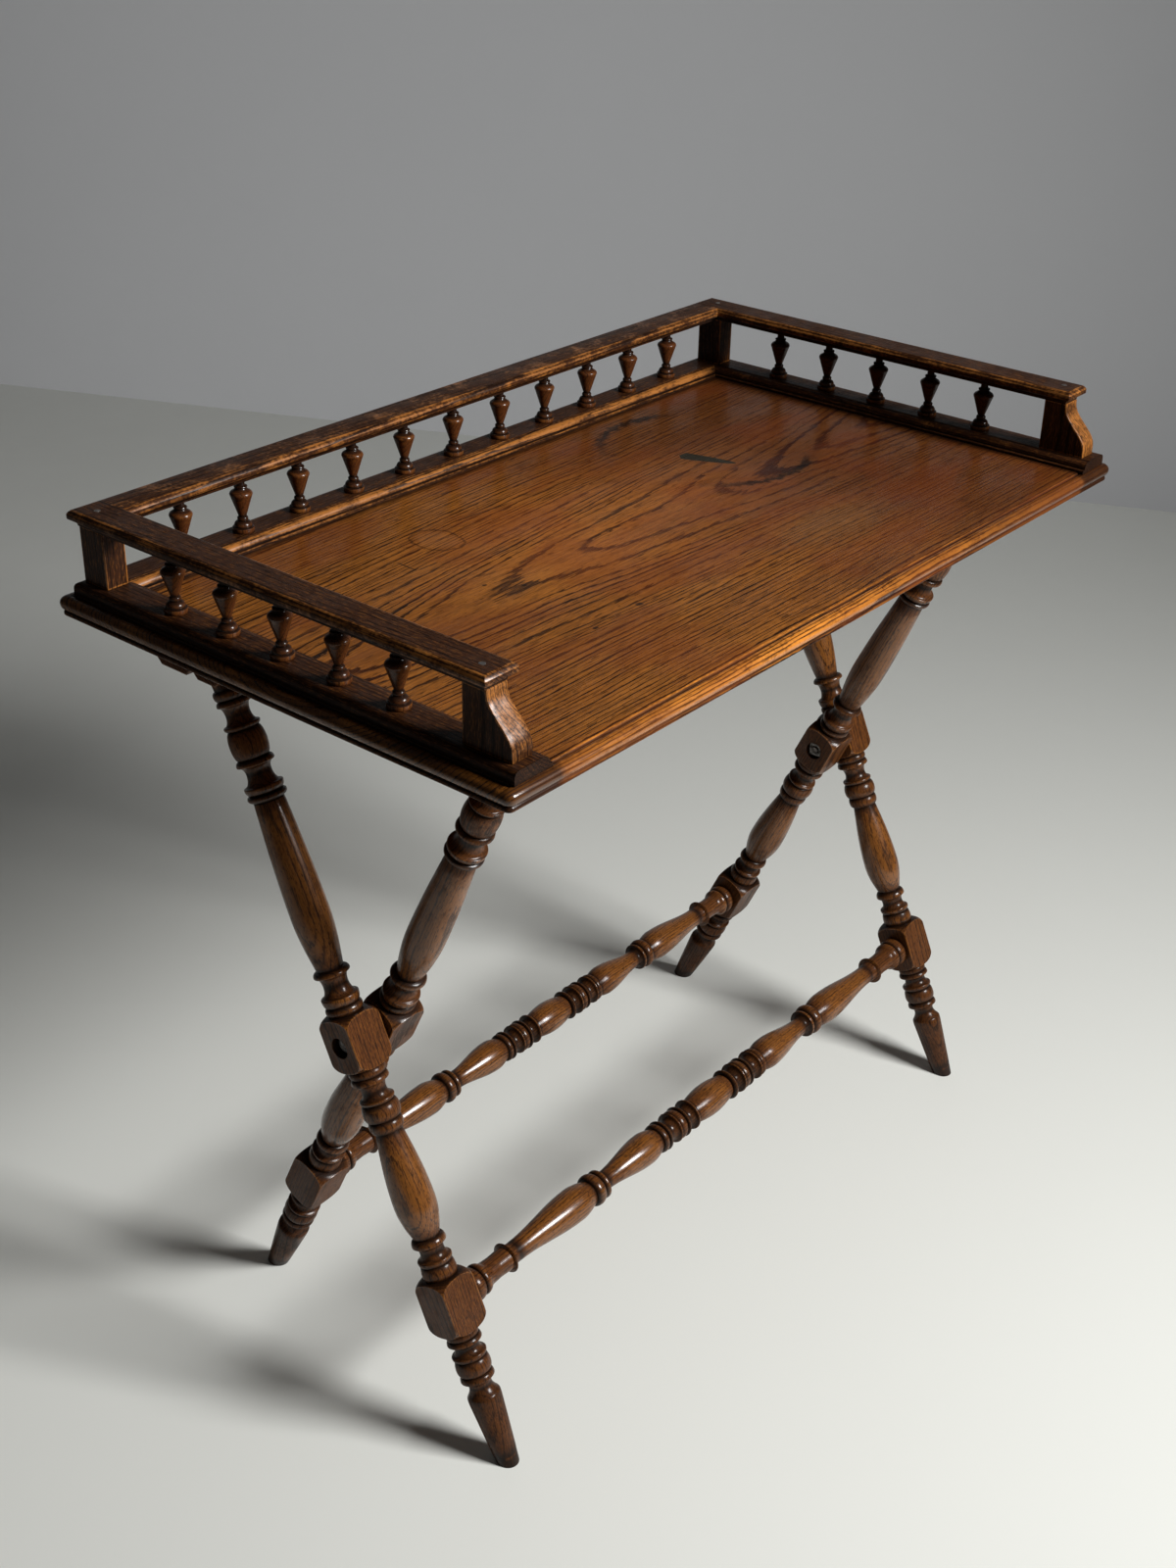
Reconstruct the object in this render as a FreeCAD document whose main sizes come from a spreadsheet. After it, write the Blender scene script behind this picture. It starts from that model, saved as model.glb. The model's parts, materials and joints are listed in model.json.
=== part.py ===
import FreeCAD, Part
import Sketcher
import os
import re

# Folding tray table in oak. The tray has a moulded edge and a spindle gallery on three sides.
# It stands on two pairs of turned legs that cross like an X and turn on a bolt at each crossing.
# +X runs along the tray, +Y to the gallery at the back, +Z up. The origin is on the floor under
# the middle of the tray.

doc = FreeCAD.newDocument("tray_table")

# Driving dimensions in millimetres, counts as plain numbers
SIZES = (
    ("tray_length", 830, "tray over its moulded edge, end to end"),
    ("tray_depth", 467, "tray over its moulded edge, front to back"),
    ("tray_thickness", 17.5, "thickness of the tray board"),
    ("tray_underside", 676, "height of the underside of the tray"),
    ("nose_width", 10.5, "width of the moulded edge outside the gallery"),
    ("sole_width", 38, "gallery sole across"),
    ("sole_height", 9.5, "gallery sole above the tray"),
    ("sole_housing", 1, "depth that the soles are let into the tray"),
    ("sole_front_setback", 5.5, "front edge of the tray to the end of a side sole"),
    ("rail_width", 34, "gallery rail across"),
    ("rail_height", 13, "gallery rail from underside to top"),
    ("rail_front_setback", 30.5, "front edge of the tray to the end of a side rail"),
    ("gallery_clear", 46, "clear height between sole and rail"),
    ("cope_depth", 6.5, "how far the back rail is scribed over the side rails"),
    ("scribe_gap", 0.1, "back rail set in from the ends of the side rails"),
    ("upright_thickness", 20, "corner post and end bracket, thickness"),
    ("post_width", 27, "corner post along the tray end"),
    ("post_setback", 6, "back of the rail to the back of the post"),
    ("bracket_top", 22, "end bracket at its top, front to back"),
    ("bracket_foot", 44, "end bracket at its foot, front to back"),
    ("bracket_setback", 8, "end of the sole to the foot of the bracket"),
    ("spindle_width", 18.4, "gallery spindle at its shoulder"),
    ("spindle_margin", 67.5, "post or bracket to the middle of the nearest spindle"),
    ("back_spindle_count", 11, "spindles along the back"),
    ("side_spindle_count", 5, "spindles along one end"),
    ("pivot_height", 359, "height of the leg pivot"),
    ("pivot_forward", 12, "leg pivot in front of the middle of the tray"),
    ("foot_reach", 162.8, "pivot to the middle of a foot, level"),
    ("leg_square", 36, "side of the square leg stock"),
    ("outer_leg_centre", 353, "middle of the table to the middle of an outer leg"),
    ("leg_gap", 1.5, "gap between an outer and an inner leg"),
    ("pivot_block", 48, "square block at the pivot, along the leg"),
    ("foot_block", 51, "square block at the stretcher, along the leg"),
    ("foot_block_drop", 241.6, "pivot to the middle of the stretcher block"),
    ("shoulder_rise", 9.5, "turned shoulder of a block, along the leg"),
    ("foot_width", 19, "tip of a foot across"),
    ("leg_tenon", 12, "round tenon at a leg top, across"),
    ("leg_tenon_length", 18, "round tenon at a leg top, along"),
    ("stretcher_width", 31.4, "stretcher at its fullest"),
    ("stretcher_tenon", 14, "stretcher tenon, across"),
    ("stretcher_tenon_length", 18, "stretcher tenon, along"),
    ("glue_gap", 0.1, "clearance round and behind a tenon"),
    ("top_rail_drop", 36, "underside of the tray to the underside of the top rails"),
    ("top_rail_width", 31, "top rail of a leg frame, across"),
    ("top_rail_chamfer", 5.5, "chamfer on the lower edges of rails under the tray"),
    ("tray_clearance", 0.8, "outer top rail to the underside of the tray"),
    ("hinge_rail_width", 40, "hinge rail across"),
    ("hinge_rail_overhang", 1, "hinge rail past the outer faces of the legs"),
    ("hinge_centre", 220, "middle of the table to the middle of a hinge"),
    ("hinge_length", 54, "hinge along its pin"),
    ("hinge_gap", 1, "gap between the hinged rails"),
    ("leaf_reach", 26, "hinge pin to the free edge of a leaf"),
    ("leaf_thickness", 2, "hinge leaf"),
    ("leaf_gap", 0.2, "hinge leaf to the edge of its housing"),
    ("knuckle_width", 7, "hinge knuckle across"),
    ("knuckle_gap", 0.3, "gap between hinge knuckles"),
    ("hinge_pin", 3.2, "hinge pin across"),
    ("running_gap", 0.05, "clearance round a shaft that turns"),
    ("rest_centre", 190, "middle of the table to the middle of a rail rest"),
    ("rest_width", 26, "rail rest along the table"),
    ("rest_height", 30, "rail rest under the tray"),
    ("rest_web", 5, "wood left above the notch of a rail rest"),
    ("rest_wall", 14, "front wall of the notch of a rail rest"),
    ("rest_lip", 6, "rear lip of the notch of a rail rest"),
    ("rest_gap", 0.5, "inner top rail to a wall of the notch"),
    ("rest_flare", 17.5, "slope of the rear wall of the notch"),
    ("seat_gap", 0.3, "clearance between faces that move on each other"),
    ("bolt_width", 8, "pivot bolt shank"),
    ("bolt_head_width", 16, "pivot bolt head"),
    ("bolt_head_height", 4.5, "pivot bolt head"),
    ("bolt_end", 2, "bolt past its nut"),
    ("counterbore_width", 20, "recess for a bolt head or nut"),
    ("counterbore_depth", 9, "recess for a bolt head or nut"),
    ("nut_width", 13, "square nut across its flats"),
    ("nut_height", 5.5, "square nut"),
    ("washer_width", 24, "washer between the legs"),
    ("overrun", 5, "how far cuts run past what they cut"),
)

sheet = doc.addObject("Spreadsheet::Sheet", "Sizes")
for row, (alias, size, note) in enumerate(SIZES, start=1):
    sheet.set(f"A{row}", alias)
    sheet.set(f"B{row}", str(size))
    sheet.set(f"C{row}", note)
    sheet.setAlias(f"B{row}", alias)
doc.recompute()

ALIASES = {alias for alias, size, note in SIZES}

# Places and sizes that follow from the driving dimensions, as expressions on the sheet
HALF_LENGTH = "(tray_length / 2)"
HALF_DEPTH = "(tray_depth / 2)"
TRAY_TOP = "(tray_underside + tray_thickness)"
SOLE_TOP = "(tray_underside + tray_thickness + sole_height)"
RAIL_UNDERSIDE = "(tray_underside + tray_thickness + sole_height + gallery_clear)"
GALLERY_X = "(tray_length / 2 - nose_width)"
GALLERY_Y = "(tray_depth / 2 - nose_width)"
SOLE_FRONT = "(-tray_depth / 2 + sole_front_setback)"
RAIL_FRONT = "(-tray_depth / 2 + rail_front_setback)"
GALLERY_LINE = "(tray_length / 2 - nose_width - rail_width / 2)"
POST_FRONT = "(tray_depth / 2 - nose_width - post_setback - post_width)"
BRACKET_BACK = "(-tray_depth / 2 + sole_front_setback + bracket_setback + bracket_foot)"
SIDE_PITCH = f"(({POST_FRONT} - {BRACKET_BACK} - 2 * spindle_margin) / (side_spindle_count - 1))"
BACK_PITCH = f"((2 * {GALLERY_LINE} - upright_thickness - 2 * spindle_margin) / (back_spindle_count - 1))"
SLANT = "(sqrt(pivot_height ^ 2 + foot_reach ^ 2))"
LEAN_COS = f"(pivot_height / {SLANT})"
LEAN_SIN = f"(foot_reach / {SLANT})"
LEAN_TAN = "(foot_reach / pivot_height)"
INNER_LEG_CENTRE = "(outer_leg_centre - leg_square - leg_gap)"
FRAME_TOP = "(tray_underside - top_rail_drop)"
LEG_RISE = f"(({FRAME_TOP} - pivot_height) / {LEAN_COS})"
TOP_REACH = f"(({FRAME_TOP} - pivot_height) * {LEAN_TAN})"
HINGE_Y = f"(-pivot_forward + {TOP_REACH} + top_rail_width / 2 + hinge_gap / 2)"
LEG_ANGLE = "atan(foot_reach / pivot_height)"


def on_sheet(text):
    """Point each alias in an expression at the sheet."""
    def point(word):
        name = word.group()
        return "Sizes." + name if name in ALIASES else name
    return re.sub(r"[a-z]\w+", point, text)


def value(text):
    """Number that an expression gives now."""
    result = sheet.evalExpression(on_sheet(text))
    return float(getattr(result, "Value", result))


def bind(thing, **expressions):
    """Bind properties of an object to expressions on the sheet."""
    for name, text in expressions.items():
        thing.setExpression(name, on_sheet(text))


def place(thing, x="0", y="0", z="0"):
    """Put a finished piece where it lies in the table."""
    for letter, text in (("x", x), ("y", y), ("z", z)):
        thing.setExpression(f"Placement.Base.{letter}", on_sheet(text))


def new_body(label):
    """PartDesign body that makes one piece."""
    body = doc.addObject("PartDesign::Body", label)
    body.Label = label
    return body


def sketch_on(body, name, role, offset="0"):
    """Empty sketch on an origin plane of its body, or parallel to it at an offset."""
    plane = next(item for item in body.Origin.OriginFeatures if item.Role == role)
    sketch = body.newObject("Sketcher::SketchObject", name)
    sketch.AttachmentSupport = [(plane, "")]
    sketch.MapMode = "FlatFace"
    sketch.setExpression("AttachmentOffset.Base.z", on_sheet(offset))
    return sketch


def hold(sketch, held, joined):
    """Constrain a sketch: points held at their sizes from its origin, and the joints of its lines."""
    rules = list(joined)
    texts = []
    for geometry, end, across, up in held:
        rules.append(Sketcher.Constraint("DistanceX", geometry, end, value(across)))
        rules.append(Sketcher.Constraint("DistanceY", geometry, end, value(up)))
        texts += [across, up]
    first = sketch.ConstraintCount
    sketch.addConstraint(rules)
    for index, text in enumerate(texts, start=first + len(joined)):
        sketch.setExpression(f"Constraints[{index}]", on_sheet(text))


def vector(across, up):
    """Point of a sketch from two expressions."""
    return FreeCAD.Vector(value(across), value(up), 0)


def draw_outline(sketch, corners):
    """Closed outline. A corner marked "arc" is the middle of an arc between its neighbours."""
    knots = [corner for corner in corners if len(corner) == 2]
    middles = []
    for index, corner in enumerate(corners):
        if len(corner) == 2:
            following = corners[(index + 1) % len(corners)]
            middles.append(following[:2] if len(following) == 3 else None)
    places = [vector(*knot) for knot in knots]
    curves = []
    for index, middle in enumerate(middles):
        start, finish = places[index], places[(index + 1) % len(places)]
        curves.append(Part.Arc(start, vector(*middle), finish) if middle else Part.LineSegment(start, finish))
    first = sketch.GeometryCount
    sketch.addGeometry(curves)
    ends = []
    for index, start in enumerate(places):
        gaps = [(sketch.getPoint(first + index, end) - start).Length for end in (1, 2)]
        ends.append((1, 2) if gaps[0] < gaps[1] else (2, 1))
    joined = []
    held = []
    for index, knot in enumerate(knots):
        before = (index - 1) % len(knots)
        joined.append(Sketcher.Constraint(
            "Coincident", first + before, ends[before][1], first + index, ends[index][0]))
        held.append((first + index, ends[index][0]) + knot)
    bent = [index for index, middle in enumerate(middles) if middle]
    sketch.addGeometry([Part.Point(vector(*middles[index])) for index in bent], True)
    for point, index in enumerate(bent, start=first + len(curves)):
        joined.append(Sketcher.Constraint("PointOnObject", point, 1, first + index))
        held.append((point, 1) + middles[index])
    hold(sketch, held, joined)


def draw_circle(sketch, width, across="0", up="0"):
    """Circle of a given width about a point."""
    circle = sketch.addGeometry(Part.Circle(vector(across, up), FreeCAD.Vector(0, 0, 1), value(width) / 2))
    hold(sketch, [(circle, 3, across, up)], [])
    index = sketch.addConstraint(Sketcher.Constraint("Diameter", circle, value(width)))
    sketch.setExpression(f"Constraints[{index}]", on_sheet(width))


def draw_rectangle(sketch, across, up, width, height):
    """Rectangle about its middle."""
    left, right = f"({across}) - ({width}) / 2", f"({across}) + ({width}) / 2"
    low, high = f"({up}) - ({height}) / 2", f"({up}) + ({height}) / 2"
    draw_outline(sketch, [(left, low), (right, low), (right, high), (left, high)])


def pad(body, sketch, length, both_ways=False, backwards=False):
    """Pad a sketch by a length on the sheet."""
    feature = body.newObject("PartDesign::Pad", sketch.Name + "_pad")
    feature.Profile = sketch
    feature.Midplane = both_ways
    feature.Reversed = backwards
    bind(feature, Length=length)
    sketch.Visibility = False
    return feature


def pocket(body, sketch, length, both_ways=False, backwards=False):
    """Cut a sketch into the piece by a length on the sheet."""
    feature = body.newObject("PartDesign::Pocket", sketch.Name + "_cut")
    feature.Profile = sketch
    feature.Midplane = both_ways
    feature.Reversed = backwards
    bind(feature, Length=length)
    sketch.Visibility = False
    return feature


def revolve(body, sketch, axis):
    """Turn a sketch through a full circle about one of its own axes."""
    feature = body.newObject("PartDesign::Revolution", sketch.Name + "_turned")
    feature.Profile = sketch
    feature.ReferenceAxis = (sketch, [axis])
    feature.Angle = 360
    sketch.Visibility = False
    return feature


def boolean(kind, label, base, tool):
    """Part boolean of two objects."""
    result = doc.addObject(kind, label)
    result.Label = label
    result.Base = base
    result.Tool = tool
    return result


# Moulded edges, as shares inward of the first size and upward of the second
TRAY_EDGE_SHARES = (
    (0.45, 0), (0.22, 0.06), (0.22, 0.2), (0.36, 0.3), (0, 0.6, "arc"), (0.62, 0.92), (1, 0.92), (1, 1),
)
RAIL_EDGE_SHARES = (
    (0.17, 0), (0.17, 0.1), (0.155, 0.23), (0.115, 0.33), (0.04, 0.4), (0, 0.43), (0, 0.72), (0.1, 1),
)
SOLE_OUTER_SHARES = ((0, 0), (0, 0.52), (0.03, 0.88, "arc"), (0.12, 1))
SOLE_INNER_SHARES = ((0.76, 1), (0.86, 0.9, "arc"), (0.92, 0.5), (0.92, 0.34), (1, 0.34), (1, 0))


def edge_points(shares, inward, height, edge, sign):
    """Corners of a moulded edge whose outermost point is at `edge`, on the side given by `sign`."""
    points = []
    for share in shares:
        across = f"{sign} * ({edge} - {inward} * {share[0]})"
        points.append((across, f"{height} * {share[1]}") + tuple(share[2:]))
    return points


def moulded_section(body, name, role, shares, inward, height, half_width):
    """Section of a board or rail that is moulded alike on both edges."""
    right = edge_points(shares, inward, height, half_width, "1")
    left = edge_points(shares, inward, height, half_width, "-1")
    sketch = sketch_on(body, name, role)
    draw_outline(sketch, right + left[::-1])
    return sketch


def moulded_board(label, shares, inward, height, half_length_x, half_length_y):
    """Board with the same moulding mitred round all four edges."""
    along_x = new_body(label + "_long_section")
    section = moulded_section(along_x, label + "_end_view", "YZ_Plane", shares, inward, height, half_length_y)
    pad(along_x, section, f"2 * {half_length_x}", both_ways=True)
    along_y = new_body(label + "_cross_section")
    section = moulded_section(
        along_y, label + "_front_view", "XZ_Plane", shares, inward, height, half_length_x)
    pad(along_y, section, f"2 * {half_length_y}", both_ways=True)
    return boolean("Part::Common", label, along_x, along_y)


def tray_top():
    """Tray board with its moulded edge and the shallow housings for the gallery soles."""
    board = moulded_board(
        "tray_board", TRAY_EDGE_SHARES, "nose_width", "tray_thickness", HALF_LENGTH, HALF_DEPTH)
    housing = new_body("sole_housing_cutter")
    sketch = sketch_on(housing, "sole_housing_plan", "XY_Plane")
    inner_x = f"({GALLERY_X} - sole_width)"
    inner_y = f"({GALLERY_Y} - sole_width)"
    front = f"(-{HALF_DEPTH} - overrun)"
    draw_outline(sketch, [
        (f"-{GALLERY_X}", front), (f"-{inner_x}", front), (f"-{inner_x}", inner_y), (inner_x, inner_y),
        (inner_x, front), (GALLERY_X, front), (GALLERY_X, GALLERY_Y), (f"-{GALLERY_X}", GALLERY_Y),
    ])
    pad(housing, sketch, "sole_housing + overrun")
    place(housing, z="tray_thickness - sole_housing")
    tray = boolean("Part::Cut", "tray_top", board, housing)
    place(tray, z="tray_underside")
    return tray


def sole_section(body, name, role, sign):
    """Section of a gallery sole, from its outer edge inward."""
    sketch = sketch_on(body, name, role)
    height = "(sole_housing + sole_height)"
    points = [(f"{sign} * sole_width * {share[0]}", f"{height} * {share[1]}") + tuple(share[2:])
              for share in SOLE_OUTER_SHARES + SOLE_INNER_SHARES]
    draw_outline(sketch, points)
    return sketch


def side_sole(label, side):
    """Sole under one end of the gallery, mitred at the back corner."""
    body = new_body(label)
    length = f"({GALLERY_Y} - {SOLE_FRONT})"
    pad(body, sole_section(body, label + "_section", "XZ_Plane", f"{-side}"), length, backwards=True)
    mitre = sketch_on(body, label + "_mitre", "XY_Plane", "-overrun")
    beyond = "(sole_width + overrun)"
    inside = f"{-side} * {beyond}"
    draw_outline(mitre, [
        ("0", length), (inside, f"{length} - {beyond}"), (inside, f"{length} + overrun"),
        ("0", f"{length} + overrun"),
    ])
    pocket(body, mitre, "sole_height + sole_housing + 2 * overrun", backwards=True)
    place(body, x=f"{side} * {GALLERY_X}", y=SOLE_FRONT, z=f"{TRAY_TOP} - sole_housing")
    return body


def back_sole():
    """Sole under the back of the gallery, mitred at both ends."""
    body = new_body("gallery_sole_back")
    pad(body, sole_section(body, "sole_back_section", "YZ_Plane", "-1"), f"2 * {GALLERY_X}", both_ways=True)
    beyond = "(sole_width + overrun)"
    for side, name in ((-1, "left"), (1, "right")):
        mitre = sketch_on(body, f"sole_back_mitre_{name}", "XY_Plane", "-overrun")
        edge = f"{side} * {GALLERY_X}"
        outside = f"{edge} + {side} * overrun"
        draw_outline(mitre, [
            (edge, "0"), (f"{edge} - {side} * {beyond}", f"-{beyond}"), (outside, f"-{beyond}"),
            (outside, "0"),
        ])
        pocket(body, mitre, "sole_height + sole_housing + 2 * overrun", backwards=True)
    place(body, y=GALLERY_Y, z=f"{TRAY_TOP} - sole_housing")
    return body


def side_rail(label, side):
    """Top rail of one end of the gallery, moulded on its edges and returned round its ends."""
    half_length = f"(({GALLERY_Y} - {RAIL_FRONT}) / 2)"
    rail = moulded_board(
        label, RAIL_EDGE_SHARES, "rail_width", "rail_height", "(rail_width / 2)", half_length)
    place(rail, x=f"{side} * {GALLERY_LINE}", y=f"({GALLERY_Y} + {RAIL_FRONT}) / 2", z=RAIL_UNDERSIDE)
    return rail


def back_rail(side_rails):
    """Top rail of the back, scribed over the moulded edges of the side rails."""
    body = new_body("back_rail_blank")
    section = moulded_section(
        body, "back_rail_section", "YZ_Plane", RAIL_EDGE_SHARES, "rail_width", "rail_height",
        "(rail_width / 2)")
    pad(body, section, f"2 * ({GALLERY_X} - rail_width + cope_depth)", both_ways=True)
    place(body, y=f"{GALLERY_Y} - rail_width / 2 - scribe_gap", z=RAIL_UNDERSIDE)
    both = doc.addObject("Part::MultiFuse", "side_rail_shapes")
    both.Shapes = side_rails
    return boolean("Part::Cut", "gallery_rail_back", body, both)


def corner_post(label, side):
    """Square post at a back corner of the gallery."""
    body = new_body(label)
    sketch = sketch_on(body, label + "_plan", "XY_Plane")
    draw_rectangle(sketch, "0", "post_width / 2", "upright_thickness", "post_width")
    pad(body, sketch, "gallery_clear")
    place(body, x=f"{side} * {GALLERY_LINE}", y=POST_FRONT, z=SOLE_TOP)
    return body


# Front edge of the end bracket, as shares of its forward sweep and of its height from the foot
BRACKET_SHARES = (
    (1, 0), (1, 0.17), (0.9, 0.34, "arc"), (0.62, 0.48), (0.14, 0.68, "arc"), (0, 0.93), (0, 1),
)


def end_bracket(label, side):
    """Ogee bracket that ends a side of the gallery."""
    body = new_body(label)
    sketch = sketch_on(body, label + "_side_view", "YZ_Plane")
    sweep = "(bracket_foot - bracket_top)"
    front = [(f"-bracket_top - {sweep} * {share[0]}", f"gallery_clear * {share[1]}") + tuple(share[2:])
             for share in BRACKET_SHARES]
    draw_outline(sketch, [("0", "0")] + front + [("0", "gallery_clear")])
    pad(body, sketch, "upright_thickness", both_ways=True)
    place(body, x=f"{side} * {GALLERY_LINE}", y=BRACKET_BACK, z=SOLE_TOP)
    return body


# Turned spindle from sole to rail, as shares of its height and of its greatest radius
SPINDLE_SHARES = ((0, 0.9), (0.09, 0.9), (0.21, 0.4), (0.29, 0.42), (0.74, 1), (0.86, 0.44), (1, 0.5))


def spindle_row(label, count, pitch, direction):
    """Row of equal turned spindles, drawn once and patterned."""
    body = new_body(label)
    body.AllowCompound = True
    sketch = sketch_on(body, label + "_outline", "XZ_Plane")
    turned = [(f"spindle_width / 2 * {width}", f"gallery_clear * {rise}") for rise, width in SPINDLE_SHARES]
    draw_outline(sketch, [("0", "0")] + turned + [("0", "gallery_clear")])
    first = revolve(body, sketch, "V_Axis")
    row = body.newObject("PartDesign::LinearPattern", label + "_row")
    axis = next(item for item in body.Origin.OriginFeatures if item.Role == direction)
    row.Originals = [first]
    row.Direction = (axis, [""])
    bind(row, Length=f"{pitch} * ({count} - 1)", Occurrences=count)
    body.Tip = row
    return body


def gallery():
    """Everything that stands on the tray."""
    rails = [side_rail("gallery_rail_left", -1), side_rail("gallery_rail_right", 1)]
    pieces = [back_sole(), back_rail(rails)] + rails
    for side, name in ((-1, "left"), (1, "right")):
        pieces.append(side_sole(f"gallery_sole_{name}", side))
        pieces.append(corner_post(f"corner_post_{name}", side))
        pieces.append(end_bracket(f"end_bracket_{name}", side))
        row = spindle_row(f"{name}_spindles", "side_spindle_count", SIDE_PITCH, "Y_Axis")
        place(row, x=f"{side} * {GALLERY_LINE}", y=f"{BRACKET_BACK} + spindle_margin", z=SOLE_TOP)
        pieces.append(row)
    row = spindle_row("back_spindles", "back_spindle_count", BACK_PITCH, "X_Axis")
    place(row, x=f"-{GALLERY_LINE} + upright_thickness / 2 + spindle_margin",
          y=f"{GALLERY_Y} - rail_width / 2", z=SOLE_TOP)
    pieces.append(row)
    return pieces


# Turning of a leg, read outward from the pivot block. The first share is the way from one end of
# the turned length to the other, the second is the radius in half sides of the square stock.
UPPER_TURNING_SHARES = (
    (0, 0.73), (0.014, 0.87), (0.027, 0.73), (0.052, 0.88), (0.092, 0.64), (0.121, 0.85), (0.136, 0.62),
    (0.21, 0.83, "arc"), (0.3, 0.9), (0.64, 0.7), (0.657, 0.9), (0.685, 0.89), (0.725, 0.64),
    (0.752, 0.86), (0.766, 0.67), (0.808, 0.86, "arc"), (0.85, 0.66), (0.861, 0.82), (0.9, 0.6),
    (0.924, 0.78), (0.94, 0.63), (0.955, 0.78), (1, 0.7),
)
LOWER_TURNING_SHARES = (
    (0, 0.73), (0.02, 0.86), (0.041, 0.74), (0.076, 0.89), (0.115, 0.67), (0.158, 0.85), (0.182, 0.72),
    (0.224, 0.87), (0.286, 0.81), (0.312, 0.67), (0.656, 0.99), (0.75, 0.88, "arc"), (0.807, 0.63),
    (0.837, 0.83), (0.87, 0.66), (0.914, 0.83), (0.94, 0.71), (0.979, 0.83), (1, 0.72),
)
FOOT_TURNING_SHARES = (
    (0, 0.71), (0.033, 0.79), (0.081, 0.85), (0.13, 0.65), (0.179, 0.84), (0.216, 0.72),
    (0.273, 0.86), (0.315, 0.7), (0.359, 0.83), (0.42, 0.6), (0.47, 0.66), (0.519, 0.82),
)


def turned_stretch(shares, start, length, sign):
    """Points of a turned length that begins at `start` and runs up or down the leg."""
    return [(f"leg_square / 2 * {share[1]}", f"{start} {sign} {length} * {share[0]}") + tuple(share[2:])
            for share in shares]


# Turned shoulder of a square block: its neck in half sides of the stock, its swell in half
# diagonals, and the way up the shoulder to the swell
NECK_SHARE = 0.73
SWELL_SHARE = 0.86
SWELL_RISE_SHARE = 0.3


def turned_block(middle, length):
    """Points of a square block's shoulders, turned down from its corners, from below to above."""
    corner = "(leg_square / sqrt(2) + seat_gap)"
    neck = f"leg_square / 2 * {NECK_SHARE}"
    swell = f"leg_square / sqrt(2) * {SWELL_SHARE}"
    rise = f"shoulder_rise * {SWELL_RISE_SHARE}"
    low, high = f"({middle} - {length} / 2)", f"({middle} + {length} / 2)"
    return [
        (neck, low), (swell, f"{low} + {rise}", "arc"), (corner, f"{low} + shoulder_rise"),
        (corner, f"{high} - shoulder_rise"), (swell, f"{high} - {rise}", "arc"), (neck, high),
    ]


def square_block(body, name, middle, length):
    """Plane the four flats of a block on a turned leg."""
    sketch = sketch_on(body, name, "XY_Plane", middle)
    draw_rectangle(sketch, "0", "0", "leg_square + 4 * overrun", "leg_square + 4 * overrun")
    draw_rectangle(sketch, "0", "0", "leg_square", "leg_square")
    pocket(body, sketch, length, both_ways=True)


def level_cut(body, name, height, lean, upward):
    """Cut a leaning leg level at a height along its axis, and take off what is beyond."""
    sketch = sketch_on(body, name, "YZ_Plane")
    near = f"({height} - leg_square * {lean} * {LEAN_TAN})"
    far = f"({height} + leg_square * {lean} * {LEAN_TAN})"
    waste = f"{upward} * (leg_square + leg_tenon_length)"
    draw_outline(sketch, [
        ("-leg_square", near), ("leg_square", far),
        ("leg_square", f"{far} + {waste}"), ("-leg_square", f"{near} + {waste}"),
    ])
    pocket(body, sketch, "2 * leg_square", both_ways=True)


def side_bore(body, name, side, width, depth, height="0"):
    """Round hole bored square into one side of a leg."""
    sketch = sketch_on(body, name, "YZ_Plane", f"{side} * (leg_square / 2 - {depth})")
    draw_circle(sketch, width, "0", height)
    pocket(body, sketch, f"{depth} + overrun", backwards=side > 0)


def turned_leg(label, lean, recess_side, mortise_side):
    """Leg about its pivot, with its axis on Z: turning, blocks, level ends, tenon and bores."""
    body = new_body(label)
    outline = sketch_on(body, label + "_outline", "XZ_Plane")
    foot_end = f"-({SLANT} + foot_width * {LEAN_TAN})"
    top_end = f"({LEG_RISE} + leg_square / 2 * {LEAN_TAN})"
    foot_start = "(foot_block_drop + foot_block / 2)"
    middle_length = "(foot_block_drop - foot_block / 2 - pivot_block / 2)"
    upper_length = f"({LEG_RISE} - pivot_block / 2)"
    points = [("0", foot_end), ("foot_width / 2", foot_end)]
    points += turned_stretch(FOOT_TURNING_SHARES, f"-{foot_start}", f"({SLANT} - {foot_start})", "-")[:0:-1]
    points += turned_block("(-foot_block_drop)", "foot_block")
    points += turned_stretch(LOWER_TURNING_SHARES, "-pivot_block / 2", middle_length, "-")[-2:0:-1]
    points += turned_block("0", "pivot_block")
    points += turned_stretch(UPPER_TURNING_SHARES, "pivot_block / 2", upper_length, "+")[1:]
    points += [(f"leg_square / 2 * {UPPER_TURNING_SHARES[-1][1]}", top_end), ("0", top_end)]
    draw_outline(outline, points)
    revolve(body, outline, "V_Axis")
    square_block(body, label + "_pivot_block", "0", "pivot_block")
    square_block(body, label + "_foot_block", "-foot_block_drop", "foot_block")
    level_cut(body, label + "_foot_level", f"-{SLANT}", lean, -1)
    level_cut(body, label + "_top_level", LEG_RISE, lean, 1)
    tenon = sketch_on(body, label + "_tenon", "XY_Plane", f"{LEG_RISE} - leg_square / 2 * {LEAN_TAN}")
    draw_circle(tenon, "leg_tenon")
    pad(body, tenon, f"leg_tenon_length + leg_square / 2 * {LEAN_TAN}")
    bolt_hole = sketch_on(body, label + "_bolt_hole", "YZ_Plane")
    draw_circle(bolt_hole, "bolt_width + 2 * running_gap")
    pocket(body, bolt_hole, "leg_square + 2 * overrun", both_ways=True)
    side_bore(body, label + "_recess", recess_side, "counterbore_width", "counterbore_depth")
    side_bore(body, label + "_mortise", mortise_side, "(stretcher_tenon + 2 * glue_gap)",
              "(stretcher_tenon_length + glue_gap)", "-foot_block_drop")
    return body


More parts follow.
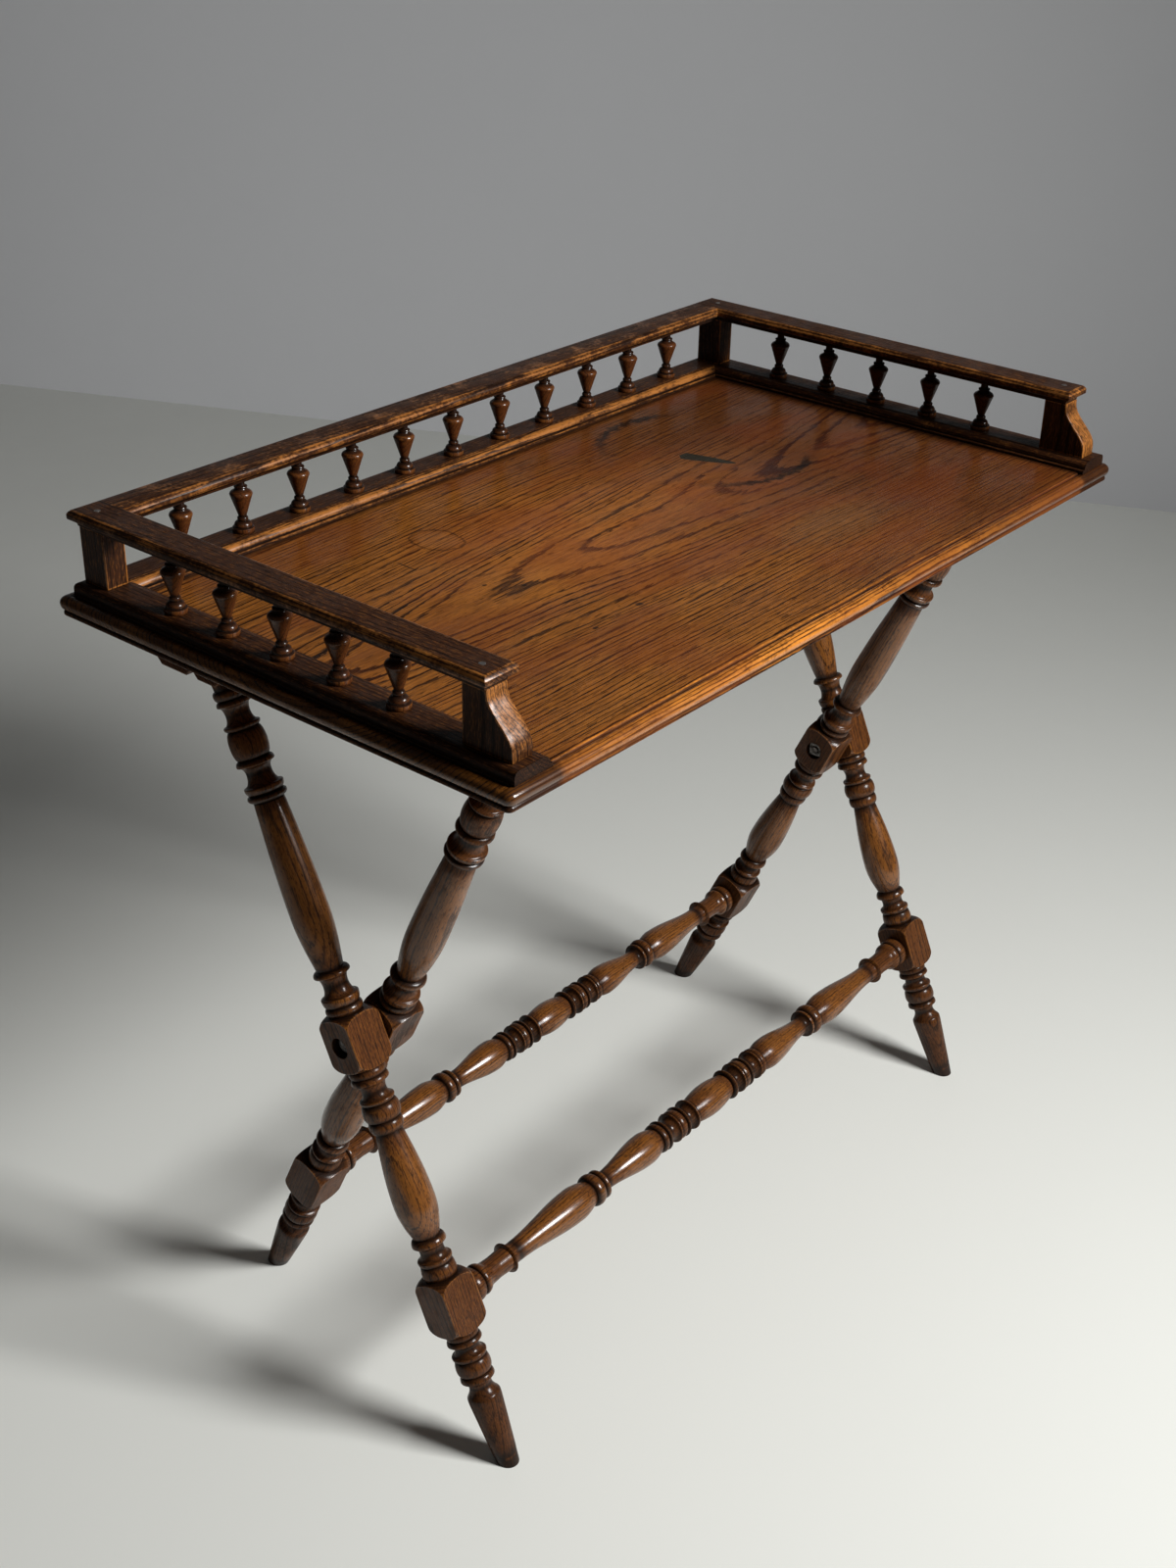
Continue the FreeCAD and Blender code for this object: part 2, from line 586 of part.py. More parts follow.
# Turning of half a stretcher from its middle to its end, as shares of the half length and of the
# greatest radius
STRETCHER_SHARES = (
    (0.08, 0.76), (0.095, 0.96), (0.112, 0.6), (0.131, 0.96), (0.15, 0.96), (0.171, 0.94), (0.19, 0.62),
    (0.21, 0.94), (0.229, 0.95), (0.24, 0.8), (0.262, 0.95, "arc"), (0.292, 0.98), (0.464, 0.55),
    (0.479, 0.9), (0.493, 0.68), (0.511, 0.97), (0.529, 0.76), (0.553, 0.94, "arc"), (0.59, 1),
    (0.829, 0.55), (0.84, 0.87), (0.85, 0.57), (0.925, 0.6), (0.953, 0.92), (0.982, 0.97), (1, 0.8),
)


def stretcher(label, leg_centre):
    """Turned stretcher between two legs, with a round tenon at each end."""
    body = new_body(label)
    sketch = sketch_on(body, label + "_outline", "XZ_Plane")
    half = f"({leg_centre} - leg_square / 2)"
    right = [(f"{half} * {share[0]}", f"stretcher_width / 2 * {share[1]}") + tuple(share[2:])
             for share in STRETCHER_SHARES]
    left = [("-" + point[0],) + tuple(point[1:]) for point in right]
    tenon_end = f"({half} + stretcher_tenon_length)"
    tenon = [(half, "stretcher_tenon / 2"), (tenon_end, "stretcher_tenon / 2"), (tenon_end, "0")]
    far_tenon = [("-" + across, up) for across, up in tenon]
    barrel = [("0", "stretcher_width / 2", "arc")]
    draw_outline(sketch, far_tenon[::-1] + left[::-1] + barrel + right + tenon)
    revolve(body, sketch, "H_Axis")
    return body


def rail_section(body, name, near, far, height):
    """Section of a rail under the tray, bevelled along its lower edges."""
    sketch = sketch_on(body, name, "YZ_Plane")
    draw_outline(sketch, [
        (f"{near} + top_rail_chamfer", "0"), (f"{far} - top_rail_chamfer", "0"), (far, "top_rail_chamfer"),
        (far, height), (near, height), (near, "top_rail_chamfer"),
    ])
    return sketch


def leaf_housings(body, edge, direction):
    """Let the hinge leaves into the underside of a rail whose hinge line is at `edge`."""
    for side, name in ((-1, "left"), (1, "right")):
        plan = sketch_on(body, f"{body.Name}_housing_{name}", "XY_Plane", "leaf_thickness")
        half = "(hinge_length / 2 + leaf_gap)"
        middle = f"{side} * hinge_centre"
        far = f"({edge} + {direction} * (leaf_reach + leaf_gap))"
        draw_outline(plan, [
            (f"{middle} - {half}", edge), (f"{middle} + {half}", edge),
            (f"{middle} + {half}", far), (f"{middle} - {half}", far),
        ])
        pocket(body, plan, "leaf_thickness + overrun")


def top_rail(label, lean, leg_centre, height):
    """Rail across the tops of a pair of legs, bored for their tenons at the legs' lean."""
    body = new_body(label)
    half = "(top_rail_width / 2)"
    pad(body, rail_section(body, label + "_section", f"-{half}", half, height),
        f"2 * {leg_centre} + leg_square", both_ways=True)
    for side, name in ((-1, "left"), (1, "right")):
        bore = sketch_on(body, f"{label}_bore_{name}", "XY_Plane")
        turn = FreeCAD.Rotation(FreeCAD.Vector(-lean, 0, 0), value(LEG_ANGLE))
        bore.AttachmentOffset = FreeCAD.Placement(FreeCAD.Vector(), turn)
        bore.setExpression("AttachmentOffset.Rotation.Angle", on_sheet(LEG_ANGLE))
        draw_circle(bore, "leg_tenon + 2 * glue_gap", f"{side} * {leg_centre}", "0")
        pocket(body, bore, "2 * (leg_tenon_length + glue_gap)", both_ways=True)
    return body


def leg_frame(prefix, stretcher_name, lean, leg_centre, rail_height, recess):
    """Two legs with their stretcher and top rail. A lean of 1 puts the tops at the back."""
    stock = []
    for side, name in ((-1, "left"), (1, "right")):
        leg = turned_leg(f"{prefix}_leg_{name}", lean, recess * side, -side)
        turn = FreeCAD.Rotation(FreeCAD.Vector(-lean, 0, 0), value(LEG_ANGLE))
        leg.Placement = FreeCAD.Placement(FreeCAD.Vector(), turn)
        leg.setExpression("Placement.Rotation.Angle", on_sheet(LEG_ANGLE))
        place(leg, x=f"{side} * {leg_centre}", y="-pivot_forward", z="pivot_height")
        stock.append(leg)
    bar = stretcher(stretcher_name, leg_centre)
    place(bar, y=f"-pivot_forward - {lean} * foot_block_drop * {LEAN_SIN}",
          z=f"pivot_height - foot_block_drop * {LEAN_COS}")
    rail = top_rail(f"{prefix}_top_rail", lean, leg_centre, rail_height)
    place(rail, y=f"-pivot_forward + {lean} * {TOP_REACH}", z=FRAME_TOP)
    return stock + [bar, rail]


def hinge_rail():
    """Rail under the tray that carries the tray's hinge leaves."""
    body = new_body("hinge_rail")
    section = rail_section(body, "hinge_rail_section", "(hinge_gap / 2)",
                           "(hinge_gap / 2 + hinge_rail_width)", "top_rail_drop")
    pad(body, section, "2 * (outer_leg_centre + hinge_rail_overhang) + leg_square", both_ways=True)
    leaf_housings(body, "0", "1")
    place(body, y=HINGE_Y, z=FRAME_TOP)
    return body


def rail_rest(label, side):
    """Notched rest under the tray that the inner top rail seats in, flared to let the rail out."""
    body = new_body(label)
    sketch = sketch_on(body, label + "_side_view", "YZ_Plane")
    half = "(top_rail_width / 2 + rest_gap)"
    ceiling = "(-rest_web)"
    draw_outline(sketch, [
        (f"-{half} - rest_wall", "0"), (f"-{half} - rest_wall", "-rest_height"), (f"-{half}", "-rest_height"),
        (f"-{half}", ceiling), (half, ceiling), (f"{half} + rest_flare", "-rest_height"),
        (f"{half} + rest_flare + rest_lip", "-rest_height"), (f"{half} + rest_flare + rest_lip", "0"),
    ])
    pad(body, sketch, "rest_width", both_ways=True)
    place(body, x=f"{side} * rest_centre", y=f"-pivot_forward - {TOP_REACH}", z="tray_underside")
    return body


def hinge_leaf(label, side, direction, knuckles):
    """Leaf of a butt hinge with its knuckles, bored for the pin."""
    body = new_body(label)
    plan = sketch_on(body, label + "_plan", "XY_Plane")
    near = f"{direction} * knuckle_width / 2"
    far = f"{direction} * leaf_reach"
    draw_outline(plan, [("-hinge_length / 2", near), ("hinge_length / 2", near),
                        ("hinge_length / 2", far), ("-hinge_length / 2", far)])
    pad(body, plan, "leaf_thickness")
    third = "(hinge_length / 3)"
    for index, (middle, length) in enumerate(knuckles):
        tongue = sketch_on(body, f"{label}_tongue_{index}", "XY_Plane")
        draw_rectangle(
            tongue, f"{middle} * {third}", f"{direction} * knuckle_width / 4", length, "knuckle_width / 2")
        pad(body, tongue, "leaf_thickness")
        barrel = sketch_on(body, f"{label}_knuckle_{index}", "YZ_Plane", f"{middle} * {third}")
        draw_circle(barrel, "knuckle_width")
        pad(body, barrel, length, both_ways=True)
    bore = sketch_on(body, label + "_pin_hole", "YZ_Plane")
    draw_circle(bore, "hinge_pin + 2 * running_gap")
    pocket(body, bore, "hinge_length + 2 * overrun", both_ways=True)
    place(body, x=f"{side} * hinge_centre", y=HINGE_Y, z=FRAME_TOP)
    return body


def hinge(name, side):
    """Butt hinge: a leaf on the frame, a leaf on the tray and the pin."""
    outer = "(hinge_length / 3 - knuckle_gap / 2)"
    frame_leaf = hinge_leaf(f"hinge_{name}_frame_leaf", side, "-1",
                            (("-1", outer), ("1", outer)))
    tray_leaf = hinge_leaf(f"hinge_{name}_tray_leaf", side, "1", (("0", "(hinge_length / 3 - knuckle_gap)"),))
    pin = new_body(f"hinge_{name}_pin")
    section = sketch_on(pin, f"hinge_{name}_pin_section", "YZ_Plane")
    draw_circle(section, "hinge_pin")
    pad(pin, section, "hinge_length", both_ways=True)
    place(pin, x=f"{side} * hinge_centre", y=HINGE_Y, z=FRAME_TOP)
    return [frame_leaf, tray_leaf, pin]


# Domed bolt head: height of its rim and radius of its flat top, as shares of its height and width
HEAD_RIM_SHARE = 0.45
HEAD_TOP_SHARE = 0.28


def pivot_bolt(name, side):
    """Bolt through a crossing, with its head outside and its square nut inside."""
    head_seat = "(leg_square / 2 - counterbore_depth)"
    nut_seat = "(leg_square + leg_gap + leg_square / 2 - counterbore_depth)"
    bolt = new_body(f"pivot_bolt_{name}")
    outline = sketch_on(bolt, f"pivot_bolt_{name}_outline", "XZ_Plane")
    end = f"-({nut_seat} + seat_gap + nut_height + bolt_end)"
    draw_outline(outline, [
        (f"{side} * {end}", "0"), (f"{side} * {end}", "bolt_width / 2"),
        (f"{side} * {head_seat}", "bolt_width / 2"), (f"{side} * {head_seat}", "bolt_head_width / 2"),
        (f"{side} * ({head_seat} + bolt_head_height * {HEAD_RIM_SHARE})", "bolt_head_width / 2"),
        (f"{side} * ({head_seat} + bolt_head_height)", f"bolt_head_width * {HEAD_TOP_SHARE}"),
        (f"{side} * ({head_seat} + bolt_head_height)", "0"),
    ])
    revolve(bolt, outline, "H_Axis")
    nut = new_body(f"pivot_nut_{name}")
    nut_middle = f"-{side} * ({nut_seat} + seat_gap + nut_height / 2)"
    plan = sketch_on(nut, f"pivot_nut_{name}_plan", "YZ_Plane", nut_middle)
    draw_rectangle(plan, "0", "0", "nut_width", "nut_width")
    pad(nut, plan, "nut_height", both_ways=True)
    thread = sketch_on(nut, f"pivot_nut_{name}_hole", "YZ_Plane", nut_middle)
    draw_circle(thread, "bolt_width + 2 * running_gap")
    pocket(nut, thread, "nut_height + 2 * overrun", both_ways=True)
    washer = new_body(f"pivot_washer_{name}")
    washer_middle = f"-{side} * (leg_square + leg_gap - seat_gap) / 2"
    ring = sketch_on(washer, f"pivot_washer_{name}_ring", "YZ_Plane", washer_middle)
    draw_circle(ring, "washer_width")
    draw_circle(ring, "bolt_width + 2 * running_gap")
    pad(washer, ring, "leg_gap - seat_gap", both_ways=True)
    for piece in (bolt, nut, washer):
        place(piece, x=f"{side} * outer_leg_centre", y="-pivot_forward", z="pivot_height")
    return [bolt, nut, washer]


def check(objects):
    """Stop if anything failed to build."""
    for item in objects:
        if "Invalid" in item.State or "Error" in item.State:
            raise RuntimeError(f"{item.Label} failed: {item.State}")


pieces = [tray_top()] + gallery()
outer_height = "(top_rail_drop - tray_clearance)"
inner_height = "(top_rail_drop - rest_web - tray_clearance / 2)"
pieces += leg_frame("outer", "front_stretcher", 1, "outer_leg_centre", outer_height, 1)
pieces += leg_frame("inner", "rear_stretcher", -1, INNER_LEG_CENTRE, inner_height, -1)
leaf_housings(doc.getObject("outer_top_rail"), "(top_rail_width / 2 + hinge_gap / 2)", "-1")
pieces.append(hinge_rail())
for side, name in ((-1, "left"), (1, "right")):
    pieces.append(rail_rest(f"rail_rest_{name}", side))
    pieces += hinge(name, side)
    pieces += pivot_bolt(name, side)
doc.recompute()
check(doc.Objects)

os.makedirs("parts", exist_ok=True)
for piece in pieces:
    if piece.Shape.isNull() or not piece.Shape.isValid():
        raise RuntimeError(f"{piece.Label} has no valid shape")
for piece in pieces:
    piece.Shape.exportStep(f"parts/{piece.Label}.step")
    print(piece.Label, len(piece.Shape.Solids), round(piece.Shape.Volume))
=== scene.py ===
import json
import math

import bmesh
import bpy
from bpy.props import FloatProperty, FloatVectorProperty, IntProperty, PointerProperty
from mathutils import Matrix, Vector, noise


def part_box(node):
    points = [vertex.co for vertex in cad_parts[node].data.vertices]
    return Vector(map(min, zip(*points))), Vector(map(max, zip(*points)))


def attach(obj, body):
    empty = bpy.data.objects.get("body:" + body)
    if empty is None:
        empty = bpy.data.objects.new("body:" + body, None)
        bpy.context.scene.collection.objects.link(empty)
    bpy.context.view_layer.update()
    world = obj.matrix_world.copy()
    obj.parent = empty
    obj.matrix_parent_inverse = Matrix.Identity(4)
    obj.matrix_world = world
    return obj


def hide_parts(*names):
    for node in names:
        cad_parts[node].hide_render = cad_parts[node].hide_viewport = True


bl_info = {
    "name": "Tray Table",
    "version": (1, 0, 0),
    "blender": (4, 5, 0),
    "location": "3D View > Sidebar > Tray Table",
    "description": "Makes and finishes a folding oak tray table piece by piece",
    "category": "Object",
}

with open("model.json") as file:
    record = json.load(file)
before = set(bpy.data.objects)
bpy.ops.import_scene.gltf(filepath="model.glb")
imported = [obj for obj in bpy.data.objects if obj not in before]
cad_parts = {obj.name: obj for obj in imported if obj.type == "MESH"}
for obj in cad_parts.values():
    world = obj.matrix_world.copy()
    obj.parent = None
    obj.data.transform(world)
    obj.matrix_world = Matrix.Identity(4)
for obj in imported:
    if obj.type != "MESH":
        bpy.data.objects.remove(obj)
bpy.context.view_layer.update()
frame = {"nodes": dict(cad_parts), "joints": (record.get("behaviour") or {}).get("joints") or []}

MM = 0.001
SIDES = ((-1, "left"), (1, "right"))


def screen(red, green, blue):
    """Colour given as it looks on a screen, from 0 to 255."""
    shares = (value / 255 for value in (red, green, blue))
    return tuple(share / 12.92 if share <= 0.04045 else ((share + 0.055) / 1.055) ** 2.4 for share in shares)


def length(name, description, default):
    """Property for a length in metres."""
    return FloatProperty(
        name=name, description=description, default=default, min=0.0, unit="LENGTH", subtype="DISTANCE",
        precision=5)


def colour(name, description, default):
    """Property for a colour."""
    return FloatVectorProperty(
        name=name, description=description, default=default, size=3, min=0.0, max=1.0, subtype="COLOR")


class TrayTableSizes(bpy.types.PropertyGroup):
    """Sizes that the frame leaves to the maker."""

    turning_steps: IntProperty(
        name="Turning steps", description="Facets round a leg or stretcher", default=44, min=12, max=96)
    spindle_steps: IntProperty(
        name="Spindle steps", description="Facets round a gallery spindle", default=28, min=8, max=64)
    soft_edge: length("Softened edge", "Rounding of a planed edge", 0.7 * MM)
    metal_edge: length("Metal edge", "Rounding of an edge of the metal fittings", 0.25 * MM)
    unevenness: length("Unevenness", "How far long mouldings wander inward", 0.35 * MM)
    worn_margin: length("Worn margin", "Width of the rubbed band along an edge of a block", 1.6 * MM)
    nail_width: length("Nail", "Nail head in a gallery rail, across", 5.4 * MM)
    screw_width: length("Screw", "Screw head, across", 6.4 * MM)
    screw_slot: length("Screw slot", "Slot of a screw head, across", 0.9 * MM)


class TrayTableFinishes(bpy.types.PropertyGroup):
    """Colours of the finishes, and the light."""

    tray: colour("Tray", "Late wood of the tray", screen(146, 89, 33))
    tray_line: colour("Tray lines", "Early wood of the tray", screen(34, 15, 4))
    tray_edge: colour("Tray edge", "Rubbed wood on the tray's moulding", screen(206, 128, 46))
    gallery: colour("Gallery", "Late wood of the gallery", screen(60, 34, 18))
    gallery_line: colour("Gallery lines", "Early wood of the gallery", screen(30, 15, 8))
    gallery_rubbed: colour("Gallery edges", "Rubbed wood on the gallery's edges", screen(166, 104, 44))
    spindle: colour("Spindles", "Wood of the gallery spindles", screen(84, 46, 22))
    leg: colour("Legs", "Late wood of the legs", screen(88, 51, 24))
    leg_line: colour("Leg lines", "Early wood of the legs", screen(46, 26, 12))
    leg_rubbed: colour("Rubbed legs", "Rubbed wood of the legs", screen(120, 73, 28))
    rail: colour("Rails", "Wood of the rails under the tray", screen(82, 50, 30))
    # Dark polish in the hollows; the same colour paints the shade in hollows and joints
    dirt: colour("Old polish", "Dark polish and painted shade in the hollows", screen(16, 9, 6))
    brass: colour("Brass", "Hinges", screen(150, 118, 66))
    steel: colour("Steel", "Bolts, nuts and washers", screen(150, 147, 144))
    floor: colour("Floor", "Floor", screen(226, 227, 221))
    wall: colour("Backdrop", "Wall behind the table", screen(240, 241, 244))
    key_power: FloatProperty(
        name="Main light", description="Power of the large light in front", default=51.0, min=0.0,
        unit="POWER")
    sky: FloatProperty(name="Fill", description="Strength of the light from all round", default=0.03, min=0.0)


# Nodes

class Bench:
    """Lays nodes in a tree and joins them."""

    def __init__(self, tree):
        self.tree = tree

    def node(self, kind, inputs=(), **settings):
        """New node with its settings and what feeds its inputs."""
        made = self.tree.nodes.new(kind)
        for name, setting in settings.items():
            setattr(made, name, setting)
        self.fill(made.inputs, dict(inputs))
        return made

    def fill(self, sockets, given):
        """Feed sockets by their names or numbers."""
        for key, fed in given.items():
            self.feed(sockets[key], fed)

    def feed(self, socket, fed):
        """Join a socket to another, or give it a value."""
        if isinstance(fed, bpy.types.NodeSocket):
            self.tree.links.new(fed, socket)
        elif socket.type == "RGBA" and len(fed) == 3:
            socket.default_value = (*fed, 1.0)
        else:
            socket.default_value = fed

    def sum(self, operation, *terms):
        """Math node."""
        return self.node("ShaderNodeMath", enumerate(terms), operation=operation).outputs[0]

    def times(self, first, *others):
        """Product of values."""
        for other in others:
            first = self.sum("MULTIPLY", first, other)
        return first

    def times_plus(self, value, share, base):
        """A share of a value, added to a base."""
        return self.sum("MULTIPLY_ADD", value, share, base)

    def vector(self, operation, *terms):
        """Vector math node."""
        made = self.node("ShaderNodeVectorMath", enumerate(terms), operation=operation)
        return made.outputs["Value" if operation in ("LENGTH", "DOT_PRODUCT") else "Vector"]

    def scale(self, vector, stretch):
        """Vector times another, axis by axis."""
        return self.vector("MULTIPLY", vector, stretch)

    def apart(self, vector):
        """The three parts of a vector."""
        return self.node("ShaderNodeSeparateXYZ", {0: vector}).outputs[:]

    def join(self, *parts):
        """Vector from three parts."""
        return self.node("ShaderNodeCombineXYZ", enumerate(parts)).outputs[0]

    def ramp(self, value, low, high, start=0.0, end=1.0):
        """Smooth step of a value from `start` at `low` to `end` at `high`."""
        return self.node("ShaderNodeMapRange", {
            "Value": value, "From Min": low, "From Max": high, "To Min": start, "To Max": end,
        }, interpolation_type="SMOOTHSTEP").outputs["Result"]

    def noise(self, vector, lumps, detail=2.0, roughness=0.5, output="Fac"):
        """Noise at so many lumps to the metre, alike or not along the three axes."""
        stretch = lumps if isinstance(lumps, tuple) else (lumps,) * 3
        return self.node("ShaderNodeTexNoise", {
            "Vector": self.scale(vector, stretch), "Scale": 1.0, "Detail": detail, "Roughness": roughness,
        }).outputs[output]

    def mix(self, share, first, second, how="MIX"):
        """Colour between two colours."""
        return self.node("ShaderNodeMix", {0: share, 6: first, 7: second}, data_type="RGBA",
                         blend_type=how).outputs[2]

    def attribute(self, name, output="Fac"):
        """Attribute carried by a piece's mesh."""
        return self.node("ShaderNodeAttribute", attribute_name=name).outputs[output]


def node_group(name, inputs, outputs):
    """Shader node group with its sockets, and what its inside starts from and ends in."""
    tree = bpy.data.node_groups.new(name, "ShaderNodeTree")
    for socket, kind, default in inputs:
        made = tree.interface.new_socket(name=socket, in_out="INPUT", socket_type=kind)
        if default is not None:
            made.default_value = default
    for socket in outputs:
        tree.interface.new_socket(name=socket, in_out="OUTPUT", socket_type="NodeSocketFloat")
    bench = Bench(tree)
    return bench, bench.node("NodeGroupInput").outputs, bench.node("NodeGroupOutput").inputs


def oak_figure():
    """Group: growth rings, pores, fibres and tone of oak, from coordinates with z along the grain."""
    name = "Oak figure"
    if name in bpy.data.node_groups:
        return bpy.data.node_groups[name]
    bench, given, result = node_group(name, (
        ("Grain", "NodeSocketVector", None), ("Ring Width", "NodeSocketFloat", 0.004),
        ("Waver", "NodeSocketFloat", 0.004), ("Pore Size", "NodeSocketFloat", 1.0),
    ), ("Rings", "Pores", "Fibre", "Flecks", "Specks", "Cloud", "Height"))
    grain = given["Grain"]
    slow = bench.noise(grain, (13.0, 13.0, 4.5), 1.5, 0.5, "Color")
    slow = bench.vector("SUBTRACT", slow, (0.5, 0.5, 0.5))
    slow = bench.scale(slow, bench.join(given["Waver"], given["Waver"], 0.0))
    path = bench.vector("ADD", grain, slow)
    radius = bench.vector("LENGTH", bench.scale(path, (1.0, 1.0, 0.0)))
    ring = bench.sum("DIVIDE", radius, given["Ring Width"])
    drift = bench.node("ShaderNodeTexNoise", {"W": bench.times(ring, 0.31), "Scale": 1.0,
                                              "Detail": 0.0}, noise_dimensions="1D").outputs["Fac"]
    ragged = bench.noise(grain, (330.0, 330.0, 38.0), 2.0, 0.6)
    ring = bench.times_plus(drift, 1.6, ring)
    ring = bench.times_plus(ragged, 0.6, ring)
    turn = bench.sum("FRACT", ring)
    year = bench.node("ShaderNodeTexWhiteNoise", {"W": bench.sum("FLOOR", ring)},
                      noise_dimensions="1D").outputs["Value"]
    start = bench.ramp(turn, 0.0, 0.04)
    fade = bench.times_plus(year, 0.24, 0.24)
    early = bench.times(start, bench.ramp(bench.sum("DIVIDE", turn, fade), 0.4, 1.0, 1.0, 0.0))
    rings = bench.times(early, bench.times_plus(year, 0.4, 0.7))
    size = bench.sum("DIVIDE", 1.0, given["Pore Size"])
    stretched = bench.scale(grain, bench.join(size, size, size))
    coarse = bench.noise(stretched, (820.0, 820.0, 52.0), 0.5)
    fine = bench.noise(stretched, (1900.0, 1900.0, 120.0), 0.5)
    coarse = bench.ramp(bench.times_plus(rings, 0.25, coarse), 0.66, 0.71)
    fine = bench.ramp(bench.times_plus(rings, 0.14, fine), 0.65, 0.72, 0.0, 0.6)
    pores = bench.sum("MAXIMUM", coarse, fine)
    fibre = bench.noise(grain, (520.0, 520.0, 13.0), 3.0, 0.65)
    flecks = bench.noise(stretched, (760.0, 760.0, 150.0), 1.0)
    cloud = bench.noise(grain, (17.0, 17.0, 5.0), 3.0, 0.55)
    sunk = bench.times_plus(rings, 0.35, pores)
    bench.fill(result, {
        "Rings": rings, "Pores": pores, "Fibre": bench.ramp(fibre, 0.38, 0.66),
        "Flecks": bench.ramp(flecks, 0.54, 0.66), "Specks": bench.ramp(flecks, 0.42, 0.3),
        "Cloud": bench.ramp(cloud, 0.3, 0.7), "Height": bench.sum("SUBTRACT", bench.times(fibre, 0.25), sunk),
    })
    return bench.tree


def old_polish():
    """Group: where an old finish is rubbed, dull, or dark with dirt and painted shade, and its knocks."""
    name = "Old polish"
    if name in bpy.data.node_groups:
        return bpy.data.node_groups[name]
    bench, given, result = node_group(name, (
        ("Place", "NodeSocketVector", None), ("Wear", "NodeSocketFloat", 0.0),
        ("Grime", "NodeSocketFloat", 0.0),
    ), ("Rubbed", "Dirt", "Smears", "Knocks"))
    place = given["Place"]
    blotch = bench.sum("SUBTRACT", bench.noise(place, 38.0, 4.0, 0.62), 0.5)
    fine = bench.sum("SUBTRACT", bench.noise(place, 330.0, 2.0), 0.5)
    break_up = bench.sum("ADD", bench.times(blotch, 1.5), bench.times(fine, 0.8))
    rubbed = bench.sum("ADD", given["Wear"], break_up)
    dirt = bench.times_plus(break_up, 0.45, given["Grime"])
    specks = bench.ramp(bench.noise(place, 420.0, 1.0), 0.72, 0.78, 0.0, 0.7)
    smears = bench.noise(place, (11.0, 26.0, 19.0), 5.0, 0.65)
    knocks = bench.ramp(bench.noise(place, 95.0, 1.5), 0.33, 0.25)
    bench.fill(result, {
        "Rubbed": bench.ramp(rubbed, 0.45, 1.05), "Smears": bench.ramp(smears, 0.3, 0.7),
        "Dirt": bench.sum("MAXIMUM", bench.ramp(dirt, 0.25, 0.95), specks),
        "Knocks": bench.times_plus(fine, -0.5, knocks),
    })
    return bench.tree


def tarnish():
    """Group: tone, dark tarnish and fine scratches of old metal."""
    name = "Tarnish"
    if name in bpy.data.node_groups:
        return bpy.data.node_groups[name]
    bench, given, result = node_group(name, (("Place", "NodeSocketVector", None),),
                                      ("Tarnish", "Pits", "Scratches"))
    place = given["Place"]
    bench.fill(result, {
        "Tarnish": bench.ramp(bench.noise(place, 180.0, 5.0, 0.65), 0.36, 0.64),
        "Pits": bench.ramp(bench.noise(place, 900.0), 0.6, 0.72),
        "Scratches": bench.noise(place, (2600.0, 160.0, 900.0), 2.0, 0.6),
    })
    return bench.tree


def new_material(name):
    """Empty material with its shader, and the bench to lay its nodes on."""
    material = bpy.data.materials.new(name)
    material.use_nodes = True
    material.node_tree.nodes.clear()
    bench = Bench(material.node_tree)
    shader = bench.node("ShaderNodeBsdfPrincipled")
    bench.node("ShaderNodeOutputMaterial", {"Surface": shader.outputs[0]})
    return material, bench, shader


# Old marks of the tray, and its painted shade and painted sheen, with their places from the middle of the table in
# metres

SHADE_AND_AGE_END = (0.12, 0.5)
BARE_PATCH = (0.115, -0.125)
PAINTED_SHEEN_MIDDLE = (0.0, 0.03)
NOSE = (-0.2235, -0.226)
SHADE_AND_DIRT_BESIDE = (0.352, 0.3665)
SHADE_AND_DIRT_BEHIND = (0.172, 0.185)
GLASS_RING, GLASS_RADIUS = (-0.14, 0.093), 0.0195
STAIN, STAIN_RADIUS = (0.188, 0.0654), 0.0965
SLOT, SLOT_LEAN, SLOT_LENGTH, SLOT_HALF_WIDTH = (0.1585, 0.066), 70.0, 0.049, 0.0088
SCRATCHES = (  # middle, half length and lean in degrees
    ((-0.0695, 0.1075), 0.034, 4.0), ((-0.0515, 0.161), 0.013, 4.0),
    ((-0.196, 0.0725), 0.0125, -88.0), ((-0.184, 0.0605), 0.012, 0.0),
)
KNOTS = (  # middle and radius
    ((-0.1285, -0.1098), 0.0032), ((-0.1846, -0.1129), 0.0022), ((-0.161, -0.021), 0.0022),
    ((-0.182, 0.002), 0.002),
)


def distance(bench, flat, spot, stretch=(1.0, 1.0), waver=None, sway=0.0):
    """How far a place on the tray is from a spot, stretched along x and y, with a wavering edge."""
    off = bench.vector("LENGTH", bench.scale(bench.vector("SUBTRACT", flat, (*spot, 0.0)), (*stretch, 0.0)))
    return off if waver is None else bench.times_plus(waver, sway, off)


def along_mark(bench, flat, spot, lean):
    """Coordinates along and across a mark that leans by so many degrees."""
    off = bench.vector("SUBTRACT", flat, (*spot, 0.0))
    turned = bench.node("ShaderNodeMapping", {"Vector": off, "Rotation": (0.0, 0.0, math.radians(lean))})
    return bench.apart(turned.outputs[0])[:2]


